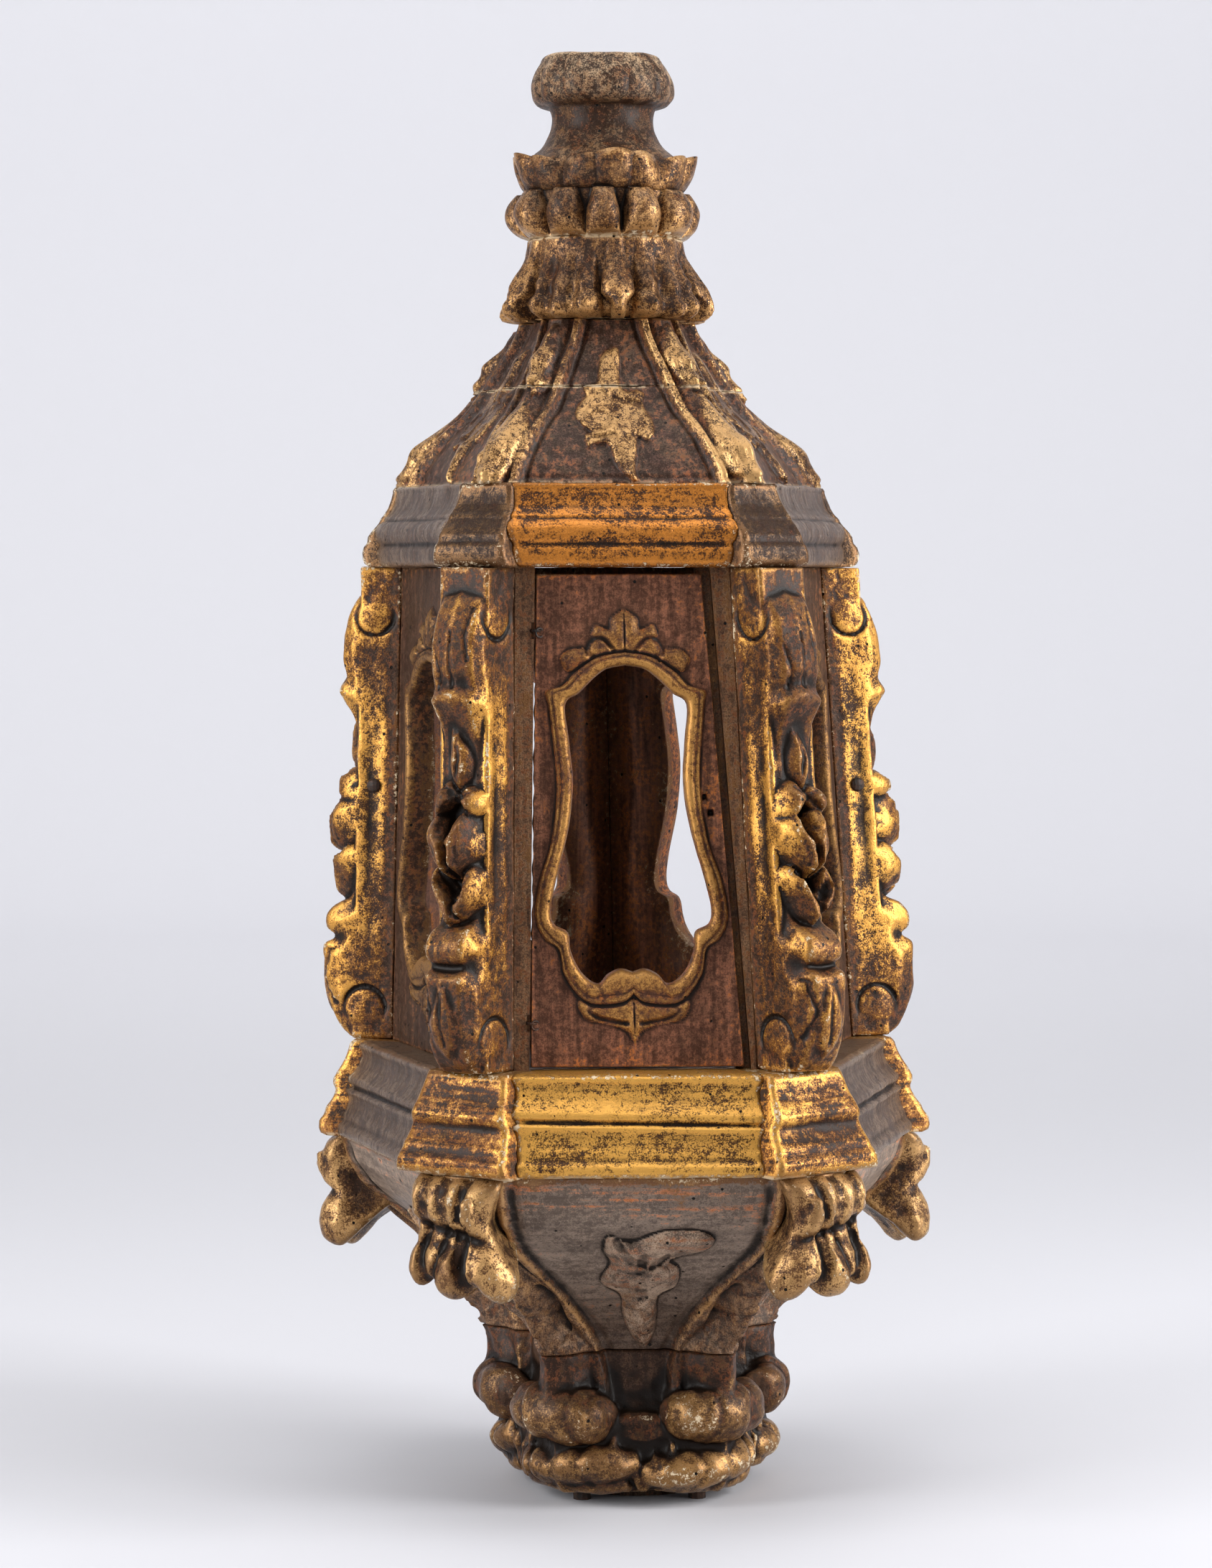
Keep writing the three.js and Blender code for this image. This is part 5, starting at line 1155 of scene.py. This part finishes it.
def drop_shape(variant):
    """One leaf drop: a thick leaf with fluted rolls at the top and three lobes at the bottom."""
    size = 1.25
    phase = np.random.default_rng(100 + variant).uniform(0, 6, 3)
    low, (x, o, z) = sample_grid((-40, 122, 120), (40, 184, 192), size)
    fx, fz = x[:, 0, :], z[:, 0, :]
    wx = fx + 1.5 * np.sin(fz / 11 + phase[0])
    wz = fz + 1.6 * np.sin(fx / 10 + phase[1])
    depth = outline_depth(DROP_OUTLINE, wx, wz)
    skin = DROP_CREST(fz) - 0.0075 * fx ** 2 - 9 * (1 - clip01(depth / 8.0)) ** 2.4
    skin = skin - 3.2 * bump(fz + 0.20 * fx, 163, 5.0)
    skin = skin - veins(DROP_VALLEYS, wx, wz) + veins(DROP_RIDGES, wx, wz)
    skin = np.minimum(skin - 0.35 * sum(high for _, _, high in DROP_RIDGES), 182.4)
    root = np.minimum(BOWL_CORNER(fz), BOWL_FLAT(fz) / COS - np.abs(fx) * SIN / COS) - 1.5
    root = np.maximum(root, DROP_BACK(fz) + 2.0 * np.sin(fx / 6))
    taper = 0.35 * np.maximum(171 - o, 0)
    shape = smax((o - skin[:, None, :]) * 0.8, taper - depth[:, None, :], 2.5)
    shape = smax(shape, (root[:, None, :] - o) * 0.8, 3.0)
    return surface_net(np.maximum(shape, z - (Z_LOWER - 0.4)), low, size)


def leaf_drops():
    for k, corner in enumerate(CORNERS):
        points, faces = drop_shape(k)
        x, o, z = points.T
        x = -x if corner in ("front_right", "right") else x
        points = np.stack([x, -np.minimum(o, DROP_FRONT), z], -1)
        make_mesh("leaf_drop_carved_" + corner, points, outward(points, faces), GILT_DROP,
                  ["leaf_drop_" + corner], turn=(k + 0.5) * TURN, gild=0.52, dust=0.2, reach=4, uneven=1.2,
                  seed=110 + 3 * k)


# Bowl: slate-dark faces framed by tall leaves that climb each corner, a crooked leaf in the middle of each.
# The crooked leaf is given above the bowl's foot, the corner leaf by distance from its edge and height
BOWL_LEAF = spline([(3, 1), (8, 10), (9, 22), (9.5, 33), (17, 40), (18, 52), (14, 58), (28, 64), (33, 71),
                    (26, 77), (10, 77), (-4, 70), (-14, 74), (-16, 64), (-13, 56), (-17, 44), (-8, 35),
                    (-6.5, 22), (-2, 8)], closed=True) * [1.2, 1]
BOWL_LEAF_VEINS = [([(2, 60), (0, 48), (2, 34)], 3.0, -2.2),
                   ([(-13, 70), (-4, 58), (6, 55), (14, 61)], 2.8, -2.8),
                   ([(4, 66), (16, 70), (27, 71)], 3.6, 1.0), ([(3, 30), (4, 18)], 3.6, 1.4),
                   ([(-8, 46), (2, 44), (10, 50)], 5.0, 2.4)]
LEAF_CARVING = rounded([([(13, 160), (14, 144), (12, 130), (13, 116)], (6.5, 8.5), 5.5),
                        ([(7.5, 124), (7, 108), (12, 96), (19, 88)], (2.8, 4.0), -4.0),
                        ([(20, 106), (15, 92), (11, 78), (9, 58)], (8.5, 7.0), 4.2),
                        ([(25, 98), (23, 80), (21, 62)], (5.0, 7.0), 2.4)])


def leafy(face, z, which):
    """The bowl's and neck's distance from the axis, and how far each place lies inside the leaves' edges."""
    flat, line = BOWL_FLAT(z), LEAF_LINE(z)
    u = flat * np.tan(face)
    gap = line - np.abs(u)
    inside = gap > 0
    leaf_angle = np.arctan2(line, flat)
    t = clip01((np.abs(face) - leaf_angle) / np.maximum(HALF_TURN - leaf_angle, 0.05))
    corner_r = lerp(line / np.sin(leaf_angle), BOWL_CORNER(z), step(0, 1, t) * 0.75 + 0.25 * np.sqrt(t))
    own = 0.9 * which
    fade = 1 - 0.6 * step(0.72, 0.95, (z - Z_BOWL) / (Z_LOWER - Z_BOWL))
    cliff = step(1.0, -0.9, gap) * 5.4 * fade
    w = 1.2 * np.sin(z / 6.0 + own) - gap
    land = -5.2 * bump(w, 7.5, 5.5) + 2.6 * bump(t, 1.0, 0.25)
    land = land + veins(LEAF_CARVING, w, z + 2.5 * np.sin(own * 3)) * step(60, 94, z)
    land = land * ~inside * np.where(fade < 1, fade * 0.8, 1)
    sunk = -1.8 * bump(gap, 3.0, 5) * inside
    return np.where(inside, flat / np.cos(face), corner_r) + cliff + land + sunk, gap, u


def bowl():
    phi = all_round(760)
    face, which = nearest_face(phi)
    levels = np.linspace(Z_LOWER - GLUE_GAP, Z_BOWL + GLUE_GAP, 112)
    z = levels[:, None] + 0 * phi
    r, gap, u = leafy(face + 0 * z, z, which)
    depth = outline_depth(BOWL_LEAF, u, z - Z_BOWL)
    leaf = clip01(depth / 8.0) ** 0.6 * 10.0 + veins(BOWL_LEAF_VEINS, u, z - Z_BOWL) * (depth > 0)
    points, faces = hollow_ring(r + leaf, phi, levels, (BORE, BORE))
    inside, on_leaf = gap > 0, step(-0.5, 1.5, depth)
    gild = np.where(inside, 0.02 + 0.32 * step(158, 180, z) * (0.3 + 0.7 * (which == 0)), 0.48)
    gild = np.maximum(np.maximum(gild, 0.66 * bump(gap, -0.8, 2.6)), 0.40 * on_leaf)
    dust = 0.30 + 0.35 * ~inside + 2.2 * step(-0.5, 2, depth)
    field = step(0.0, 1.2, gap) * (0.2 + 0.8 * step(92, 146, z)) * (1 - 0.35 * on_leaf)
    make_mesh("bowl_carved", points, faces, SLATE, ["bowl_block"],
              gild=with_bore(gild, 0.1), dust=with_bore(dust, 0), reach=5, uneven=0.8, seed=130,
              marks={"field": with_bore(field, 0)}, joint=Z_BOWL)


# Foot: rolled scrolls at the corners over two tiers of tongues, a sill and leaves under each dark face
FOOT_CORE = smooth_curve([(6, 58), (12, 63), (20, 66.5), (26, 66), (32, 65), (38, 66), (43, 64.5), (47, 60.5),
                          (52, 57.5), (60, 55.0), (84, 54)])
# Leaves under each face, as chains of balls: across, out, height and radius
FOOT_LEAVES = [[(14, 57, 54, 1.6), (14.5, 62, 44, 2.2), (16, 66.5, 32, 2.4), (15, 67, 22, 2.2),
                (10, 66, 13, 2.0)],
               [(7, 64, 34, 0.8), (6, 67.5, 26, 1.8), (3.5, 67, 17, 2.2), (1.5, 64, 9, 1.8)],
               [(24, 62, 30, 2.0), (20, 67, 22, 2.8), (14, 66, 14, 2.6), (8, 63, 9, 2.0)]]
# Windings of a scroll: size of the first, then where each next one starts and its change in size
FEW_WINDINGS = (0.93, (-12, 0.12), (10, -0.09), (17, -0.05))
MORE_WINDINGS = (0.86, (-15, 0.17), (14, -0.06), (23, -0.09))
TURNED_SCROLLS = (0, 3)


def windings(along, first, *changes):
    return first + sum(by * step(at - 1.5, at + 1.5, along) - 0.04 * bump(along, at, 2.0)
                       for at, by in changes)


def rounded_end(along, half, power):
    """1 along most of a roll, falling to nothing at both ends."""
    return np.sqrt(clip01(1 - (np.abs(along) / half) ** power))


def foot():
    size = 1.4
    low, (x, y, z) = sample_grid((-100, -100, Z_FOOT), (100, 100, Z_BOWL), size)
    r, phi = np.hypot(x, y), np.arctan2(x, -y)
    from_corner, number = nearest_corner(phi)
    face, which = nearest_face(phi)
    shape = smin(r * np.cos(face) - FOOT_CORE(z), smax((r - leafy(face, z, which)[0]) * 0.72, 44 - z, 3), 1.0)

    # Corner rolls: a stepped scroll, a waved tier and a low base, two of the scrolls turned the other way
    rolled = r * from_corner
    turned = np.isin(number, TURNED_SCROLLS)
    ahead = np.where(turned, -1, 1) * rolled
    side = ahead + 0.14 * (z - 50)
    swell = np.where(turned, windings(side, *FEW_WINDINGS), windings(side, *MORE_WINDINGS))
    swell = swell * rounded_end(ahead + 2.5, 31.5, 9) + 1e-3
    ends = 0.0030 * rolled ** 2
    shape = smin(shape, (np.hypot((r - 74 + ends) / 17.0, (z - 50.5) / 15.2) - swell) * 14, 1.0)
    wave = 1 - 0.17 * bump(side, -24, 3.6) - 0.06 * bump(side, -6, 6.0) - 0.09 * bump(side, 12, 5.0)
    wave = wave * rounded_end(side - 1, 42, 3.4) + 1e-3
    tier = np.hypot((r - 66.5 + ends * 1.2) / 18.0, (z - 22.0 - 0.07 * rolled) / 11.2) - wave
    shape = smin(shape, tier * 11, 1.0)
    slant = rolled + 0.14 * (z - 40)
    base = (1 - 0.12 * bump(slant, -8, 3.0) - 0.10 * bump(slant, 15, 3.0)) * rounded_end(rolled, 36, 5) + 1e-3
    shape = smin(shape, (np.hypot((r - 60) / 13.0, (z - 11.5) / 6.2) - base) * 7, 1.4)

    # Sill and leaves under the faces, then the cuts to disc, bowl and bore
    across, out = r * np.sin(face), r * np.cos(face)
    sill = smax(np.abs(across) - 12.5, np.hypot((out - 58.5) / 1.6, z - 46.5) - 3.0, 1.0)
    shape = smin(shape, sill, 1.5)
    for mirror in (-1, 1):
        for path in FOOT_LEAVES:
            leaf = rope((across, out, z), [(mirror * a + 1.2, *rest) for a, *rest in path], 2.0)
            shape = smin(shape, leaf, 1.6)
    shape = smax(shape, Z_FOOT + 0.25 - z, 1.2)
    shape = np.maximum(np.maximum(shape, z - Z_BOWL + GLUE_GAP), BORE - r)
    points, faces = surface_net(shape, low, size)
    r, z = np.hypot(points[:, 0], points[:, 1]), points[:, 2]
    face, _ = nearest_face(np.arctan2(points[:, 0], -points[:, 1]))
    strip = step(17, 13, np.abs(r * np.sin(face))) * step(44, 50, z)
    gild = 0.46 - 0.12 * step(32, 40, z) - 0.34 * strip - 0.3 * step(48, 40, r)
    make_mesh("foot_carved", points, outward(points, faces), GILT_FOOT, ["foot_block"], gild=gild, dust=0.2,
              reach=5, uneven=2.4, seed=140, joint=Z_BOWL)


collar()
skirt()
dome()
cornices()
panels()
brackets()
leaf_drops()
bowl()
foot()
door()


# What is left of the solids gets its finish
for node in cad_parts:
    if node.startswith("door_post"):
        finish = PLAIN_DARK
    elif node in ("crown_board", "floor_board", "foot_disc"):
        finish = PLAIN_BARE
    elif node.startswith(("bracket_nail", "hinge_eye", "candle_cup", "foot_stub")):
        finish = IRON
    else:
        continue
    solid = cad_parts[node]
    for material_slot in solid.material_slots:
        material_slot.material = finish
    if not solid.material_slots:
        solid.data.materials.append(finish)

# Studio, in metres: a pale floor that rises into a wall all round, its paper painted lighter towards the wall
# as painted light
FLOOR_RADIUS, WALL_CURVE, WALL_RISE = 3.3, 1.3, 3.0
NEAR_PAPER, MIDDLE_PAPER, FAR_PAPER = (0.40, 0.40, 0.42), (0.545, 0.545, 0.575), (0.735, 0.735, 0.77)


def sweep():
    line = [(0.01, 0.0), (0.6, 0.0), (1.5, 0.0), (FLOOR_RADIUS, 0.0)]
    line += [(FLOOR_RADIUS + WALL_CURVE * math.sin(a), WALL_CURVE - WALL_CURVE * math.cos(a))
             for a in np.linspace(0.1, math.pi / 2, 16)]
    line += [(FLOOR_RADIUS + WALL_CURVE, WALL_CURVE + WALL_RISE)]
    phi = all_round(96)
    points = np.concatenate([about_axis(r, phi, z) for r, z in line])
    mesh = bpy.data.meshes.new("studio_sweep")
    mesh.from_pydata(points.tolist(), [], grid_faces(len(line), len(phi), wrap_cols=True).tolist())
    mesh.shade_smooth()
    s = Shader("studio_paper")
    # Painted light: the paper grows lighter from in front of the object back to the wall, a painted fall of
    # light
    depth = s.part_of(s.place, "Y")
    near = s.mix(s.ramp(depth, -1.2, -0.5), NEAR_PAPER, MIDDLE_PAPER)
    s.put(s.surface.inputs["Base Color"], s.mix(s.ramp(depth, 0.9, 3.6), near, FAR_PAPER))
    s.surface.inputs["Roughness"].default_value = 0.75
    s.surface.inputs["Specular IOR Level"].default_value = 0.25
    mesh.materials.append(s.material)
    floor = bpy.data.objects.new("studio_sweep", mesh)
    bpy.context.scene.collection.objects.link(floor)


def softbox(name, at, aim, size, power):
    light = bpy.data.lights.new(name, "AREA")
    light.shape = "RECTANGLE"
    light.size, light.size_y = size
    light.energy = power
    lamp = bpy.data.objects.new(name, light)
    lamp.location = at
    lamp.rotation_euler = (Vector(aim) - Vector(at)).to_track_quat("-Z", "Y").to_euler()
    lamp.visible_camera = False
    bpy.context.scene.collection.objects.link(lamp)


# Two side softboxes, a top one, a weak front fill, and two that light the wall behind
sweep()
softbox("left_softbox", (-1.75, -0.75, 0.95), (0, 0, 0.42), (0.8, 1.7), 44)
softbox("right_softbox", (1.75, -0.65, 0.95), (0, 0, 0.42), (0.8, 1.7), 62)
softbox("top_softbox", (0.0, -0.5, 2.5), (0, 0, 0.3), (2.0, 1.4), 26)
softbox("front_fill", (-0.5, -3.2, 1.5), (0, 0, 0.4), (1.4, 1.4), 13)
softbox("rear_top_light", (0.0, 0.9, 3.0), (0, 2.4, 0.7), (3.4, 0.8), 30)
softbox("backdrop_light", (0.0, 2.2, 3.4), (0, 4.4, 0.8), (4.4, 0.8), 60)

world = bpy.data.worlds.new("studio_world")
bpy.context.scene.world = world
world.use_nodes = True
world.node_tree.nodes["Background"].inputs["Color"].default_value = (0.83, 0.85, 0.92, 1)
world.node_tree.nodes["Background"].inputs["Strength"].default_value = 0.055

# Camera: level, at the height of the upper cornice, a little to the left of the door
PHOTO_HEIGHT_PX, FOCAL_PX, HORIZON_ABOVE_MIDDLE_PX = 2184, 5500, 302
SENSOR_HEIGHT = 36.0
CAMERA_DISTANCE, CAMERA_TURN = 2.22, math.radians(2.5)
AIM_X, EYE_HEIGHT = -0.0166, 0.513
camera_data = bpy.data.cameras.new("photo_camera")
camera_data.sensor_fit = "VERTICAL"
camera_data.sensor_height = SENSOR_HEIGHT
camera_data.lens = FOCAL_PX / PHOTO_HEIGHT_PX * SENSOR_HEIGHT
camera_data.shift_y = -HORIZON_ABOVE_MIDDLE_PX / PHOTO_HEIGHT_PX
camera_data.clip_end = 50
camera = bpy.data.objects.new("photo_camera", camera_data)
camera.location = (AIM_X - CAMERA_DISTANCE * math.sin(CAMERA_TURN), -CAMERA_DISTANCE * math.cos(CAMERA_TURN),
                   EYE_HEIGHT)
camera.rotation_euler = (math.pi / 2, 0, -CAMERA_TURN)
bpy.context.scene.collection.objects.link(camera)
bpy.context.scene.camera = camera
bpy.context.scene.view_settings.view_transform = "Standard"
